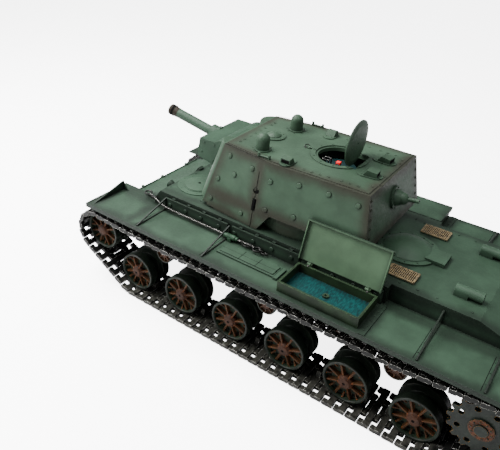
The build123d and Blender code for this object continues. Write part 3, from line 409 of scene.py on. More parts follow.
def across(x, z):
    """A place whose Z axis is the tank's Y axis, so that heights are distances from the centre plane."""
    return Matrix(((1, 0, 0, x), (0, 0, 1, 0), (0, -1, 0, z), (0, 0, 0, 1)))


def turns(count, start=0.0):
    """Evenly spaced angles round a circle, the first of them start steps on."""
    return [2 * math.pi * (i + start) / count for i in range(count)]


def mirror(sign):
    """The left side as it is for 1, reflected to the right for -1."""
    return Matrix.Diagonal((1, sign, 1, 1))


class Form:
    """A mesh in the making, in millimetres in the CAD frame."""

    def __init__(self, *materials):
        self.mesh = bmesh.new()
        self.materials = materials

    def add(self, points, faces, material=0):
        """Faces given by the numbers of their points."""
        corners = [self.mesh.verts.new(point) for point in points]
        for face in faces:
            made = self.mesh.faces.new([corners[i] for i in face])
            made.material_index = material

    def lathe(self, profile, place, material=0, steps=32, ring=False):
        """Radius and height pairs turned about the place's Z axis; material may be one for each band.

        Both ends are capped, or joined to each other if it is a ring.
        """
        bands = material if isinstance(material, (list, tuple)) else [material] * len(profile)
        rings = []
        for radius, height in profile:
            angles = turns(steps) if radius > 0 else [0]
            points = [place @ Vector((radius * math.cos(a), radius * math.sin(a), height)) for a in angles]
            rings.append([self.mesh.verts.new(point) for point in points])
        following = rings[1:] + rings[:1] if ring else rings[1:]
        for low, high, band in zip(rings, following, bands):
            for i in range(steps):
                j = (i + 1) % steps
                corners = [low[i % len(low)], low[j % len(low)], high[j % len(high)], high[i % len(high)]]
                unique = list(dict.fromkeys(corners))
                if len(unique) > 2:
                    self.mesh.faces.new(unique).material_index = band
        if ring:
            return
        for end, flip in ((rings[0], True), (rings[-1], False)):
            if len(end) > 1:
                self.mesh.faces.new(end[::-1] if flip else end).material_index = bands[0 if flip else -1]

    def slab(self, outline, low, high, place, material=0, taper=0.0):
        """An outline in the place's XY plane given height, its top drawn in by taper."""
        count = len(outline)
        centre = sum((Vector(p) for p in outline), Vector((0, 0))) / count
        top = [Vector(p) - (Vector(p) - centre).normalized() * taper for p in outline]
        points = [place @ Vector((x, y, low)) for x, y in outline]
        points += [place @ Vector((p.x, p.y, high)) for p in top]
        faces = [(i, (i + 1) % count, count + (i + 1) % count, count + i) for i in range(count)]
        faces += [tuple(range(count))[::-1], tuple(range(count, 2 * count))]
        self.add(points, faces, material)

    def box(self, x, y, z, material=0, place=Matrix.Identity(4), taper=0.0):
        """A block between two values of each coordinate."""
        outline = [(x[0], y[0]), (x[1], y[0]), (x[1], y[1]), (x[0], y[1])]
        self.slab(outline, z[0], z[1], place, material, taper)

    def tube(self, path, radius, material=0, steps=8, closed=False):
        """A round bar along a path of points, in even frames without twist."""
        path = [Vector(p) for p in path]
        count = len(path)
        rings = []
        side = None
        for i, point in enumerate(path):
            before = path[(i - 1) % count] if closed or i else point
            after = path[(i + 1) % count] if closed or i < count - 1 else point
            heading = (after - before).normalized()
            if side is None:
                side = heading.orthogonal().normalized()
            side = (side - heading * side.dot(heading)).normalized()
            other = heading.cross(side)
            rings.append([self.mesh.verts.new(point + (side * math.cos(a) + other * math.sin(a)) * radius)
                          for a in turns(steps)])
        pairs = list(zip(rings, rings[1:])) + ([(rings[-1], rings[0])] if closed else [])
        for first, second in pairs:
            for k in range(steps):
                m = (k + 1) % steps
                self.mesh.faces.new((first[k], first[m], second[m], second[k])).material_index = material
        if not closed:
            self.mesh.faces.new(rings[0][::-1]).material_index = material
            self.mesh.faces.new(rings[-1]).material_index = material

    def bolt(self, point, normal, radius, height=0.8, material=0, slotted=False, mirrored=1):
        """A domed bolt head, or a recessed screw, sunk a little into the surface."""
        if slotted:
            profile = [(radius, -0.3), (radius, height * 0.7), (radius * 0.85, height),
                       (radius * 0.6, height), (radius * 0.5, height * 0.4), (0, height * 0.4)]
        else:
            profile = [(radius, -0.3), (radius, height * 0.55), (radius * 0.86, height * 0.88),
                       (radius * 0.5, height), (0, height)]
        self.lathe(profile, mirror(mirrored) @ facing(point, normal), material, 14)

    def piece(self, name, body, slot, replaces=(), rounding=0.2, sharp=34):
        """Turn the mesh into a finished piece that rides on a CAD body."""
        bmesh.ops.recalc_face_normals(self.mesh, faces=self.mesh.faces)
        for corner in self.mesh.verts:
            corner.co *= MM
        data = bpy.data.meshes.new(name)
        self.mesh.to_mesh(data)
        self.mesh.free()
        for material in self.materials:
            data.materials.append(material)
        data.polygons.foreach_set("use_smooth", [True] * len(data.polygons))
        data.set_sharp_from_angle(angle=math.radians(sharp))
        made = bpy.data.objects.new(name, data)
        bpy.context.scene.collection.objects.link(made)
        if rounding:
            bevel = made.modifiers.new("rounding", "BEVEL")
            bevel.width = rounding * MM
            bevel.segments = 2
            bevel.limit_method = "ANGLE"
            bevel.angle_limit = math.radians(sharp)
            bevel.harden_normals = True
        if replaces:
            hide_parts(*replaces)
        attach(made, body)
        return made


# ---- running gear ----

def rib(form, place, angle, inner, outer, foot, inner_height, outer_height, half, material):
    """A radial rib that slopes from the hub to the rim."""
    turn = place @ Matrix.Rotation(angle, 4, "Z")
    points = []
    for x, height, width in ((inner, inner_height, half), (outer, outer_height, half * 1.5)):
        for y in (-width, width):
            points += [turn @ Vector((x, y, foot)), turn @ Vector((x, y * 0.7, height))]
    faces = [(0, 1, 3, 2), (4, 6, 7, 5), (0, 4, 5, 1), (2, 3, 7, 6), (1, 5, 7, 3), (0, 2, 6, 4)]
    form.add(points, faces, material)


def wheel_form(x, z, radius, sign, hub):
    """A twin disc wheel with ribbed dished faces; hub is the look of its cap: flat or domed."""
    form = Form(RIM_PAINT, WEB_PAINT, RIB_RUST, HUB_BROWN, SHADOW_BLACK)
    place = mirror(sign) @ across(x, z)
    r = radius
    profile = [(0, 70.4), (5.0, 70.4), (6.0, 69.8), (6.6, 73.6), (r - 2.6, 74.0), (r - 2.4, 69.5),
               (r - 1.9, 69.05), (r - 0.4, 69.05), (r, 69.5), (r, 77.0), (r - 0.4, 77.45), (12.9, 77.45),
               (12.6, 77.8), (12.6, 86.2),
               (12.9, 86.55), (r - 0.4, 86.55), (r, 87.0), (r, 94.4), (r - 0.45, 94.95), (r - 1.7, 94.95),
               (r - 2.3, 94.3), (r - 2.5, 90.4), (6.4, 90.1), (6.0, 93.6), (5.4, 94.3)]
    bands = [0] * (len(profile) - 1)
    bands[20:22] = [1, 1]
    bands[22:24] = [3, 3]
    if hub == "domed":
        profile += [(5.2, 95.0), (4.6, 95.7), (3.2, 96.1), (0, 96.19)]
        bands += [3, 3, 3, 3]
    else:
        profile += [(4.9, 94.9), (4.6, 95.6), (4.0, 95.9), (1.2, 95.95), (0.9, 95.5), (0, 95.5)]
        bands += [3, 3, 3, 3, 4, 4]
    form.lathe(profile, place, bands, 64)
    for angle in turns(8, 0.5):
        rib(form, place, angle, 5.6, r - 2.45, 89.8, 93.8, 93.2, 0.75, 2)
        rib(form, place, angle + math.pi / 8, 12.2, r - 2.45, 89.8, 90.9, 93.0, 0.6, 2)
        rib(form, place, angle, 5.6, r - 2.6, 74.6, 71.0, 71.6, 0.75, 1)
        for side in (-1, 1):
            turn = Matrix.Rotation(angle + side * math.pi / 16, 4, "Z")
            hole = place @ turn @ Matrix.Translation((13.6, 0, 90.35))
            form.lathe([(1.15, 0.0), (1.15, 0.06), (0, 0.06)], hole, 4, 12)
        form.bolt(place @ Vector((4.9 * math.cos(angle), 4.9 * math.sin(angle), 94.4)),
                  place.to_3x3() @ Vector((0, 0, 1)), 0.5, 0.5, 3)
    return form


def roller_form(x, z, radius, sign):
    """A small return roller: two ribbed discs on a tube."""
    form = Form(RIM_PAINT, RIB_RUST, HUB_BROWN)
    place = mirror(sign) @ across(x, z)
    form.lathe([(2.7, 69.05), (2.7, 91.9)], place, 0, 24)
    for low, high in ((70.4, 77.4), (86.4, 93.4)):
        r = radius
        form.lathe([(2.9, low + 2.0), (r - 1.5, low + 2.0), (r - 1.4, low + 0.3), (r - 0.3, low),
                    (r, low + 0.4), (r, high - 0.4), (r - 0.3, high), (r - 1.3, high - 0.1),
                    (r - 1.5, high - 2.0), (3.6, high - 2.0),
                    (3.4, high - 0.4), (2.0, high - 0.1), (0, high - 0.1)],
                   place, [0, 0, 0, 0, 0, 0, 0, 1, 2, 2, 2, 2], 40)
        for angle in turns(8):
            rib(form, place, angle, 3.2, r - 1.45, high - 2.1, high - 0.7, high - 0.8, 0.5, 1)
    return form


def disc(name):
    """A round CAD node's x, z and radius, in millimetres."""
    low, high = node_box(name)
    middle = (low + high) / 2
    return middle.x, middle.z, (high.z - low.z) / 2


def add_running_gear():
    """Road wheels, return rollers and idlers in place of the CAD's, and the sprockets' faces."""
    for side, sign in SIDES:
        for i in range(1, 7):
            name = f"road_wheel_{side}_{i}"
            form = wheel_form(*disc(name), sign, "flat")
            form.piece(f"wheel_{side}_{i}", name, "wheel_paint", (name,), 0.12)
        for i in range(1, 4):
            name = f"return_roller_{side}_{i}"
            form = roller_form(*disc(name), sign)
            form.piece(f"roller_{side}_{i}", name, "wheel_paint", (name,), 0.12)
        name = f"idler_{side}"
        form = wheel_form(*disc(name), sign, "domed")
        form.piece(f"idler_wheel_{side}", name, "wheel_paint", (name,), 0.12)
        add_sprocket_face(side, sign)


def add_sprocket_face(side, sign):
    """Bolted ring and cap on the sprocket's outer face."""
    name = f"sprocket_{side}"
    low, high = node_box(name)
    x, z, _ = disc(name)
    face = (high.y if sign > 0 else -low.y) - 1.2
    place = mirror(sign) @ across(x, z)
    form = Form(RIM_PAINT, HUB_BROWN)
    rim = [(8.3, face - 0.1), (8.0, face + 0.2), (5.2, face + 0.2), (4.9, face - 0.1)]
    form.lathe(rim, place, 1, 32, ring=True)
    form.lathe([(4.2, face + 1.15), (3.6, face + 1.19), (0, face + 1.19)], place, 1, 24)
    outward = place.to_3x3() @ Vector((0, 0, 1))
    for angle in turns(10):
        point = place @ Vector((6.6 * math.cos(angle), 6.6 * math.sin(angle), face + 0.15))
        form.bolt(point, outward, 0.7, 0.6, 0)
    form.piece(f"sprocket_bolts_{side}", name, "wheel_paint", rounding=0)


# ---- turret ----

SIDE_BOLTS = ((70, 150), (44.7, 147.6), (62, 136), (79, 126.5), (83.4, 106.8), (48.5, 106.3), (25.3, 142.8),
              (25.4, 118), (-0.2, 148), (-25.5, 149), (-49.8, 148), (-0.8, 121))
LEFT_ROOF_BOLTS = ((1.8, 41.7), (-5.3, 41.6), (-12.4, 40.9), (-19.1, 40.5), (-29.8, 39.7), (-36.4, 39.2),
                   (-43.6, 39.2))
REAR_ROOF_BOLTS = ((-51.5, 32.2), (-55.0, 25.3), (-52, 10.2), (-52.4, -20.4), (-51.5, -27.4))
# Rings of screws round the domes, the ventilator and the hatch: node, x, y, ring, count and radius.
ROOF_RINGS = (("turret_shell", 47, 31.5, 8.6, 8, 0.5), ("turret_shell", 47, -24.5, 8.6, 8, 0.5),
              ("turret_fittings", 54.5, 1.5, 8.9, 10, 0.45), ("turret_shell", HATCH_X, 0, 21.9, 12, 0.8))


def add_turret_bolts():
    """Bolt heads on the side plates, screws on the roof and the rear, and a slot in each side."""
    form = Form(TURRET_PAINT, SHADOW_BLACK)
    for x, z in SIDE_BOLTS:
        for sign in (1, -1):
            point, normal = on_surface("turret_shell", (x, BESIDE * sign, z), (0, -sign, 0))
            form.bolt(point, normal, 2.2, 1.0)
            form.lathe([(2.45, -0.1), (2.45, 0.04), (2.2, 0.04)], facing(point, normal), 1, 20)
    roof = list(LEFT_ROOF_BOLTS) + [(x, -y + 6) for x, y in LEFT_ROOF_BOLTS] + list(REAR_ROOF_BOLTS)
    roof += [(70, y) for y in (30.9, 24.5, 14.9, 7.8, -1, -8.9, -18.2, -24.5)]
    for x, y in roof:
        point, normal = on_surface("turret_shell", (x, y, ABOVE_ROOF), (0, 0, -1))
        form.bolt(point, normal, 1.25, 0.35, slotted=True)
    for y in (47.5, -47.5):
        for z in (153, 146, 138.5, 131, 123.5, 117.5):
            edge = y * (1 + (153 - z) / 420)
            point, normal = on_surface("turret_shell", (BEHIND, edge * 0.93, z), (1, 0, 0))
            form.bolt(point, normal, 1.2, 0.5, slotted=True)
    for sign in (1, -1):
        seam_x = 37
        point, normal = on_surface("turret_shell", (seam_x, BESIDE * sign, 131), (0, -sign, 0))
        form.lathe([(2.9, -0.1), (2.9, 0.08), (0, 0.08)], facing(point, normal), 1, 28)
        starts = [(seam_x, BESIDE * sign, z) for z in (114.0, 123.0)]
        slot = [on_surface("turret_shell", start, (0, -sign, 0))[0] for start in starts]
        form.tube(slot, 1.6, 1, 12)
    form.piece("turret_bolts", "turret", "green_paint", rounding=0)


def add_roof_details():
    """Screws, seams and small gear on the turret roof."""
    form = Form(FITTING_PAINT, SHADOW_BLACK, DARK_STEEL)
    top = node_box("turret_shell")[1].z - 0.8
    for node, x, y, ring, count, radius in ROOF_RINGS:
        for angle in turns(count, 0.4):
            place = (x + ring * math.cos(angle), y + ring * math.sin(angle), ABOVE_ROOF)
            point = on_surface(node, place, (0, 0, -1))[0]
            form.bolt(point, (0, 0, 1), radius, 0.4)
    for sign in (1, -1):
        form.box((33.5, 78), (45.3, 45.7), (top - 0.1, top + 0.08), 1, mirror(sign) @ skew(-0.14, 56))
    for x, y, turn in ((17.5, 39.3, 90), (16.5, -33.0, -90), (-42.5, 16.0, 185), (-41.0, -15.5, 175)):
        add_hood_details(form, x, y, math.radians(turn), top)
    form.box((12.2, 17.5), (1.8, 3.0), (top, top + 1.1), 0, taper=0.2)
    form.lathe([(1.9, 0), (1.9, 0.8), (1.4, 1.3), (0, 1.3)], Matrix.Translation((18.5, 2.4, top)), 0, 20)
    loop = [(19.5, -0.4, 0.6), (21.4, -0.6, 1.5), (22.8, 1.6, 1.6), (22.2, 4.4, 1.4), (20.2, 5.0, 0.6)]
    form.tube([(x, y, top + z) for x, y, z in loop], 0.45, 2)
    form.piece("roof_details", "turret", "green_paint", rounding=0.08)


def skew(slope, about):
    """A place turned a little so that a strip follows the roof's slanting edge."""
    turn = Matrix.Rotation(math.atan(slope), 4, "Z")
    return Matrix.Translation((about, 45.5, 0)) @ turn @ Matrix.Translation((-about, -45.5, 0))


def add_hood_details(form, x, y, turn, top):
    """A hood's dark window, its curved cover and the screws of its base plate."""
    place = Matrix.Translation((x, y, top)) @ Matrix.Rotation(turn, 4, "Z")
    length = 6 if abs(math.sin(turn)) > 0.5 else 9
    end = length / 2 + 2
    form.box((end - 0.3, end + 0.05), (-3.5, 3.5), (1.2, 4.0), 1, place)
    for px, py in ((end + 1.8, 3.2), (end + 1.8, -3.2), (-end + 0.4, 3.4), (-end + 0.4, -3.4)):
        screw = place @ Vector((min(px, length / 2 + 4.2), py * 0.75, 0.75))
        form.bolt(screw, (0, 0, 1), 0.55, 0.35, 0)


def add_hatch_interior():
    """What the open hatch shows: a dark well, a small frame and the red battle lamp."""
    high = node_box("turret_electronics")[1]
    x = HATCH_X
    form = Form(HATCH_TEAL, DARK_STEEL, LAMP_RED, SHADOW_BLACK)
    tray, frame_top = high.z - 3.4, high.z + 3.6
    form.lathe([(15.6, -0.6), (15.6, 0), (15.0, 0.3), (0, 0.3)], Matrix.Translation((x, 0, tray)), 0, 48)
    form.box((x - 1.9, x + 1.9), (-1.9, 1.9), (tray, high.z + 1.4), 2, taper=0.2)
    for px in (x + 5.5, x + 11.0):
        form.tube([(px, 2.5, tray), (px, 2.9, frame_top), (px, 8.0, frame_top), (px, 8.4, tray)], 0.6, 1)
    for py in (2.9, 8.0):
        form.tube([(x + 5.5, py, frame_top), (x + 11.0, py, frame_top)], 0.6, 1)
    form.piece("hatch_interior", "turret", "black_plastic", rounding=0.1)


def add_gun_details():
    """The dark muzzle, the gun mount's bolts and the round shield that closes its slot."""
    tilt = Matrix.Translation(TRUNNION) @ Matrix.Rotation(-GUN_ELEVATION, 4, "Y")
    along = tilt @ Matrix.Rotation(math.pi / 2, 4, "Y")
    form = Form(MUZZLE_BROWN, SHADOW_BLACK)
    muzzle = [(4.65, 78.0), (4.8, 78.5), (4.8, 83.0), (5.45, 83.3), (5.45, 84.0), (5.35, 84.3), (5.35, 85.0),
              (5.45, 85.3), (5.45, 87.6), (5.0, 88.15), (3.2, 88.15), (2.8, 87.6), (2.8, 78.5)]
    form.lathe(muzzle, along, [0, 0, 0, 1, 1, 1, 1, 0, 0, 0, 1, 1], 40)
    form.piece("muzzle_ring", "gun", "green_paint", rounding=0)
    form = Form(GUN_PAINT)
    form.lathe([(8.6, 26.5), (8.6, 29.5), (7.9, 30.2)], along, 0, 40)
    for angle in turns(10):
        point = along @ Vector((6.3 * math.cos(angle), 6.3 * math.sin(angle), 36.0))
        form.bolt(point, along.to_3x3() @ Vector((0, 0, 1)), 0.55, 0.5)
    for sign in (1, -1):
        for px, pz in ((2, 8), (12, 7.5), (23, 5), (24, -5), (10, -8)):
            form.bolt(tilt @ Vector((px, sign * MANTLET_HALF, pz)), (0, sign, 0), 1.0, 0.6)
    form.piece("gun_mount_bolts", "gun", "green_paint", rounding=0)
    form = Form(GUN_PAINT)
    end = MANTLET_HALF - 0.1
    shield = [(13.0, -end), (15.8, -end), (16.2, -end + 0.4), (16.2, end - 0.4), (15.8, end), (13.0, end)]
    form.lathe(shield, tilt @ Matrix.Rotation(-math.pi / 2, 4, "X"), 0, 64, ring=True)
    form.piece("gun_slot_shield", "gun", "green_paint", rounding=0)


def add_machine_gun_bolts():
    """Bolts round the flange of the rear machine gun."""
    form = Form(FITTING_PAINT)
    for angle in turns(8, 0.5):
        start = (BEHIND, 8.3 * math.cos(angle), REAR_GUN_Z + 8.3 * math.sin(angle))
        point, normal = on_surface("rear_machine_gun", start, (1, 0, 0))
        form.bolt(point, normal, 0.7, 0.6)
    form.piece("rear_gun_bolts", "turret", "green_paint", rounding=0)


def add_hatch_lid_details():
    """The lid's centre screw and inner rim."""
    low, high = node_box("commander_hatch")
    middle = (low.z + high.z) / 2 + 0.4
    point, normal = on_surface("commander_hatch", (60, 4, middle), (-1, 0, 0))
    form = Form(FITTING_PAINT, SHADOW_BLACK)
    place = facing((point.x, 0, middle), normal)
    rim = [(16.5, -0.3), (16.5, 0.25), (16.1, 0.35), (15.7, 0.25), (15.7, -0.3)]
    form.lathe(rim, place, 0, 64, ring=True)
    screw = [(1.5, -0.2), (1.5, 0.3), (1.1, 0.42), (0.7, 0.3), (0.6, 0.0), (0, 0.0)]
    form.lathe(screw, place, [0, 0, 0, 1, 1], 20)
    form.piece("hatch_lid_rim", "commander_hatch", "green_paint", rounding=0)


# ---- hull ----

DRIVER_HATCH = (115.7, 27.2)
DECK_SCREWS = ((133.4, 10.9), (134.2, 47.6), (96, 50), (133, -47), (133, -10), (100, -50),
               (-68, 50), (-68, -50), (-120, 48), (-120, -48), (-145, 48), (-145, -48))


def add_hull_bolts():
    """Bolts of the side plates, rivets of the fender strips and screws of the roof."""
    form = Form(HULL_PAINT, SHADOW_BLACK)
    for x in (122, 103.5, 86, 66, 49, 29.5, 11, -7.7, -27, -45, -63, -80):
        for sign in (1, -1):
            point, normal = on_surface("upper_hull", (x, 100 * sign, 89.6), (0, -sign, 0))
            form.bolt(point, normal, 2.0, 1.1)
            form.lathe([(2.2, -0.1), (2.2, 0.05), (2.0, 0.05)], facing(point, normal), 1, 18)
    for sign in (1, -1):
        for y in (67, 73, 79, 85.5, 92, 98):
            form.bolt((-88.5, sign * y, 83.7), (0, 0, 1), 0.6, 0.45)
        for x in (127.25, 54.25, -128.0, -172.0):
            for y in (70, 82, 94):
                form.bolt((x + 2.0, sign * y, FENDER_TOP), (0, 0, 1), 0.55, 0.4)
        for x in range(-185, 190, 15):
            form.bolt((x, sign * 103.7, 81.0), (0, sign, 0), 0.5, 0.05)
    for x, y in DECK_SCREWS:
        form.bolt((x, y, DECK_TOP), (0, 0, 1), 0.9, 0.35, slotted=True)
    hatch_x, hatch_y = DRIVER_HATCH
    for angle in turns(12):
        point = (hatch_x + 18.2 * math.cos(angle), hatch_y + 18.2 * math.sin(angle), DECK_TOP + 0.7)
        form.bolt(point, (0, 0, 1), 0.5, 0.25)
    middle = Matrix.Translation((hatch_x, hatch_y, DECK_TOP + 2.35))
    form.lathe([(1.3, -0.3), (1.3, 0.2), (0.7, 0.4), (0, 0.4)], middle, 1, 16)
    form.piece("hull_bolts", "hull", "green_paint", rounding=0)


def add_fender_tools():
    """The flat tool case on each fender and the dark seams beside the brackets."""
    form = Form(HULL_PAINT, SHADOW_BLACK)
    for sign in (1, -1):
        place = mirror(sign)
        form.box((-7, 49.3), (72.0, 88.0), (FENDER_TOP, 84.3), 0, place, 0.4)
        form.box((-5.4, 47.6), (74.2, 86.0), (84.2, 85.1), 0, place, 0.3)
        form.box((-10.5, -7.2), (73.0, 89.4), (FENDER_TOP, 84.9), 0, place, 0.3)
        for x in (12.0, 28.0):
            form.box((x - 0.25, x + 0.25), (74.2, 86.0), (85.0, 85.13), 1, place)
        form.box((-5.4, 47.6), (79.9, 80.2), (85.0, 85.13), 1, place)
        for x in (-2.0, 19.0, 44.0):
            form.bolt((x, sign * 73.1, 84.2), (0, 0, 1), 0.5, 0.4)
            form.bolt((x, sign * 87.0, 84.2), (0, 0, 1), 0.5, 0.4)
        for x in (189.6, 130.0, 57.0, -125.3, -169.3):
            form.box((x - 0.2, x + 0.2), (64, 101.5), (82.9, 83.08), 1, place)
    form.piece("fender_tool_cases", "hull", "green_paint", rounding=0.15)


def rope_path(points):
    """A smooth line through the cable's route, read from its own curve."""
    curve = bpy.data.curves.new("route", "CURVE")
    curve.dimensions = "3D"
    spline = curve.splines.new("NURBS")
    spline.points.add(len(points) - 1)
    for place, point in zip(points, spline.points):
        point.co = (*place, 1)
    spline.order_u = 3
    spline.use_endpoint_u = True
    curve.resolution_u = 24
    made = bpy.data.objects.new("route", curve)
    bpy.context.scene.collection.objects.link(made)
    mesh = bpy.data.meshes.new_from_object(made)
    path = [v.co.copy() for v in mesh.vertices]
    bpy.data.objects.remove(made)
    bpy.data.meshes.remove(mesh)
    return path


def even_path(path, step):
    """Points along a line at even distances."""
    points = [path[0]]
    left = step
    for a, b in zip(path, path[1:]):
        length = (b - a).length
        while length > left:
            a = a + (b - a) * (left / length)
            length -= left
            points.append(a)
            left = step
        left -= length
    return points


def add_tow_cables():
    """Twisted steel ropes along the hull, with spliced eyes, a clamp and shackle links."""
    route = [(150.5, 58.6, 88.8), (140.0, 62.0, 88.6), (128.0, 66.2, 87.0), (92.0, 65.5, 86.2),
             (56.0, 66.0, 86.4), (26.0, 65.8, 86.2)]
    form = Form(ROPE_STEEL, DARK_STEEL, CLAMP_PAINT)
    pitch, strands, lay, step = 7.0, 6, 0.62, 0.7
    path = even_path(rope_path(route), step)
    for sign in (1, -1):
        flip = mirror(sign)
        for strand in range(strands):
            twisted = []
            for i, point in enumerate(path):
                after = path[min(i + 1, len(path) - 1)]
                before = path[max(i - 1, 0)]
                heading = (after - before).normalized()
                side = heading.cross(Vector((0, 0, 1))).normalized()
                other = side.cross(heading)
                angle = 2 * math.pi * (i * step / pitch + strand / strands)
                twisted.append(flip @ (point + (side * math.cos(angle) + other * math.sin(angle)) * lay))
            form.tube(twisted, 0.4, 0, 6)
        for end, ahead, out in ((route[0], 3.6, -1.2), (route[-1], -3.6, 1.5)):
            eye = Vector((end[0] + ahead, end[1] + out, end[2]))
            loop = [flip @ (eye + Vector((3.2 * math.cos(a), 3.2 * math.sin(a), 0))) for a in turns(28)]
            form.tube(loop, 0.85, 1, 8, closed=True)
        for x in (143.0, 31.0):
            near = min(path, key=lambda p: abs(p.x - x))
            ferrule = [(1.25, -3), (1.5, -2.6), (1.5, 2.6), (1.25, 3)]
            form.lathe(ferrule, flip @ facing(near, (1, 0, 0)), 1, 16)
        near = min(path, key=lambda p: abs(p.x - 50))
        along = flip @ facing(near, (1, 0.01, 0))
        clamp = [(1.2, -7.5), (1.9, -7.0), (1.9, -5.0), (2.5, -4.6), (2.5, 4.6), (1.9, 5.0), (1.9, 7.0),
                 (1.2, 7.5)]
        form.lathe(clamp, along, 2, 24)
        foot = (near.x - 2.0, near.x + 2.0), (near.y + 1.0, near.y + 3.4), (FENDER_TOP, near.z)
        form.box(*foot, 2, flip, 0.2)
        for x, flat in ((38.0, 0), (33.0, 1), (19.0, 0), (15.2, 1)):
            middle = Vector((x, 66.3 + 0.5 * flat, 85.2))
            wide, high = (1.9, 0.665) if flat else (0.665, 1.9)
            oval = [Vector((3.0 * math.cos(a), wide * math.sin(a), high * math.sin(a))) for a in turns(20)]
            form.tube([flip @ (middle + point) for point in oval], 0.55, 1, 7, closed=True)
    form.piece("tow_ropes", "hull", "dark_steel", ("tow_cables",), 0)


def add_screens():
    """Frames and slats of the engine deck's air intakes, and the bolts of the round cover."""
    form = Form(mesh_screen(), HULL_PAINT, SHADOW_BLACK)
    for sign in (1, -1):
        place = mirror(sign)
        form.box((-101.0, -79.0), (30.4, 45.0), (99.0, 99.25), 2, place)
        for k in range(15):
            x = -100.0 + k * 20.0 / 14
            form.box((x - 0.4, x + 0.4), (31.0, 44.4), (99.1, 99.95), 0, place, 0.12)
        for y in (30.4, 44.0):
            form.box((-101.4, -78.6), (y, y + 1.0), (98.8, 100.15), 0, place, 0.15)
        for x in (-101.4, -79.6):
            form.box((x, x + 1.0), (30.4, 45.0), (98.8, 100.15), 0, place, 0.15)
        for x in (-106.0, -92.0, -76.0):
            form.bolt((x, sign * 48.6, DECK_TOP), (0, 0, 1), 0.9, 0.6, 1)
    for angle in turns(14):
        x, y = -80 + 22.3 * math.cos(angle), 22.3 * math.sin(angle)
        if (x - 9.25) ** 2 + y ** 2 > 65 ** 2 and not (x < -94 and abs(y) < 10):
            form.bolt((x, y, 99.4), (0, 0, 1), 0.7, 0.5, 1)
    form.piece("deck_screens", "hull", "screen_mesh", rounding=0.08)


def add_nose_and_stern():
    """Nose tube, driver's visor, bow machine gun, lamp, tow hooks and the bolts of the bow and stern plates.
    """
    form = Form(HULL_PAINT, SHADOW_BLACK, DARK_STEEL)
    form.tube([(179.0, y, 77.6) for y in (-48, -24, 0, 24, 48)], 1.1, 0, 14)
    for y in (-30, 8.7, 38):
        form.box((177.0, 181.2), (y - 1.4, y + 1.4), (75.6, 79.4), 0, taper=0.3)
    lean = facing((139.6, 0, 93.6), (0.81, 0, 0.58))
    form.box((-3.2, 3.2), (-8.0, 8.0), (-1.0, 1.8), 0, lean, 0.6)
    form.box((-0.5, 0.5), (-5.5, 5.5), (1.7, 1.86), 1, lean)
    gun = facing((139.4, -30, 93.4), (0.9, 0, 0.35))
    ball = [(5.4, -1.5), (5.4, 1.0), (4.6, 1.6), (3.9, 1.4), (3.4, 3.0), (1.9, 4.4), (1.3, 4.8), (1.3, 12.0),
            (0.8, 12.0), (0.8, 10.0), (0, 10.0)]
    form.lathe(ball, gun, [0, 0, 0, 0, 0, 0, 2, 2, 1, 1], 28)
    lamp = facing((143.2, 36, 92.2), (0.94, 0, 0.3))
    housing = [(1.2, -3.0), (3.6, -1.4), (4.3, 1.0), (4.3, 2.8), (3.9, 2.9), (3.5, 2.2), (0, 1.2)]
    form.lathe(housing, lamp, [0, 0, 0, 2, 2, 2], 28)
    for sign in (1, -1):
        place = mirror(sign)
        hook = [(181.5, 40, 62), (187.0, 40, 61), (189.0, 40, 64.5), (187.0, 40, 67.5), (184.5, 40, 67.0)]
        form.tube([place @ Vector(p) for p in hook], 1.2, 2, 10)
        stern = [(-188.5, 36, 60), (-193.4, 36, 59), (-195.0, 36, 62.5), (-193.2, 36, 65.5), (-191.0, 36, 65)]
        form.tube([place @ Vector(p) for p in stern], 1.2, 2, 10)
        for z in (48, 56, 64, 72):
            form.bolt((-189.0, sign * 46.5, z), (-1, 0, 0), 0.9, 0.7)
        for y in (8, 22, 36):
            form.bolt((-189.0, sign * y, 76), (-1, 0, 0), 0.9, 0.7)
            form.bolt((182.0, sign * y, 70), (1, 0, 0), 0.9, 0.7)
    form.piece("nose_and_stern_gear", "hull", "green_paint", rounding=0.12)


def add_lid_hardware():
    """Two upright stays with a screw between the hull and each stowage box."""
    form = Form(LID_PAINT, DARK_STEEL)
    for sign in (1, -1):
        for x in (-75.5, -25.5):
            form.tube([mirror(sign) @ Vector((x, 67.2, z)) for z in (84.4, 88.0, 92.6)], 0.7, 0, 10)
            form.bolt((x, sign * 67.4, 92.2), (0, 0, 1), 0.9, 0.5, 1)
    form.piece("lid_stays", "hull", "green_paint", rounding=0)


def add_belly():
    """Two access plates under the hull and their screws."""
    form = Form(TUB_PAINT, SHADOW_BLACK)
    for x0, x1, half in ((-140, -40, 30), (60, 130, 30)):
        form.box((x0, x1), (-half, half), (25.3, 26.2), 0, taper=-0.4)
        for x in (x0 + 4, (x0 + x1) / 2, x1 - 4):
            for y in (-half + 4, half - 4):
                form.bolt((x, y, 25.3), (0, 0, -1), 1.4, 0.5, 1, slotted=True)
    form.piece("belly_plates", "hull", "hull_plastic", rounding=0.2)


# ---- camera, light and floor ----

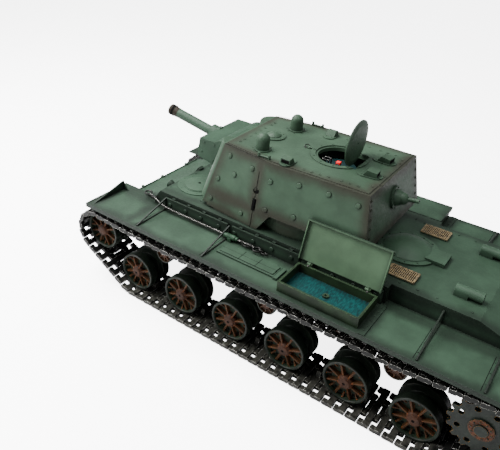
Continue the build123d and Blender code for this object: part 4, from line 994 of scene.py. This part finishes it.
def add_camera():
    """A camera behind, above and to the left of the tank, looking at its turret."""
    azimuth, elevation, roll = math.radians(216.5), math.radians(30.1), math.radians(2.3)
    back = Vector((math.sin(azimuth) * math.cos(elevation), -math.cos(azimuth) * math.cos(elevation),
                   math.sin(elevation)))
    side = (-back).cross(Vector((0, 0, 1))).normalized()
    up = side.cross(-back)
    turned = side * math.cos(roll) + up * math.sin(roll)
    rise = up * math.cos(roll) - side * math.sin(roll)
    camera = bpy.data.objects.new("camera", bpy.data.cameras.new("camera"))
    bpy.context.scene.collection.objects.link(camera)
    place = Matrix((turned, rise, back)).transposed().to_4x4()
    place.translation = Vector((-183.9, 415.1, 362.2)) * MM
    camera.matrix_world = place
    camera.data.sensor_width = 36
    camera.data.lens = 41.9
    camera.data.shift_x = 0.081
    camera.data.shift_y = -0.043
    camera.data.clip_start = 0.01
    bpy.context.scene.camera = camera


def add_lamp(name, place, aim, size, power):
    """A rectangular lamp; place, aim and size are in metres."""
    lamp = bpy.data.objects.new(name, bpy.data.lights.new(name, "AREA"))
    bpy.context.scene.collection.objects.link(lamp)
    lamp.data.shape = "RECTANGLE"
    lamp.data.size, lamp.data.size_y = size
    lamp.data.energy = power
    lamp.location = place
    lamp.rotation_euler = (Vector(aim) - Vector(place)).to_track_quat("-Z", "Y").to_euler()


def seen_brighter(tree, socket, strength, extra):
    """Make the backdrop near white for the camera without more light on the tank."""
    path = tree.nodes.new("ShaderNodeLightPath")
    total = tree.nodes.new("ShaderNodeMath")
    total.operation = "MULTIPLY_ADD"
    total.inputs[1].default_value = extra
    total.inputs[2].default_value = strength
    tree.links.new(path.outputs["Is Camera Ray"], total.inputs[0])
    tree.links.new(total.outputs[0], socket)


def add_studio():
    """Soft light from above and both sides over a pale floor."""
    world = bpy.data.worlds.new("studio")
    world.use_nodes = True
    world.node_tree.nodes["Background"].inputs["Color"].default_value = (0.95, 0.97, 1.0, 1)
    seen_brighter(world.node_tree, world.node_tree.nodes["Background"].inputs["Strength"], 0.62, 5.0)
    bpy.context.scene.world = world
    add_lamp("top_light", (0.5, 0.12, 0.85), (0.05, 0, 0.05), (0.8, 0.7), 40)
    add_lamp("stern_light", (-0.28, 0.1, 0.75), (-0.1, 0, 0.1), (0.35, 0.35), 4)
    add_lamp("bow_light", (0.62, 0.5, 0.5), (0.1, 0, 0.1), (0.4, 0.4), 9)
    mesh = bpy.data.meshes.new("floor")
    half = 4.0
    corners = [(-half, -half, 0), (half, -half, 0), (half, half, 0), (-half, half, 0)]
    mesh.from_pydata(corners, [], [(0, 1, 2, 3)])
    floor = bpy.data.objects.new("floor", mesh)
    bpy.context.scene.collection.objects.link(floor)
    material = bpy.data.materials.new("floor_white")
    material.use_nodes = True
    shader = material.node_tree.nodes["Principled BSDF"]
    shader.inputs["Base Color"].default_value = (0.9, 0.9, 0.9, 1)
    shader.inputs["Roughness"].default_value = 0.6
    shader.inputs["Emission Color"].default_value = (1.0, 1.0, 1.0, 1)
    seen_brighter(material.node_tree, shader.inputs["Emission Strength"], 0.0, 5.0)
    mesh.materials.append(material)


add_camera()
add_studio()
paint_nodes()
add_running_gear()
add_turret_bolts()
add_roof_details()
add_hatch_interior()
add_gun_details()
add_machine_gun_bolts()
add_hatch_lid_details()
add_hull_bolts()
add_fender_tools()
add_tow_cables()
add_screens()
add_nose_and_stern()
add_lid_hardware()
add_belly()
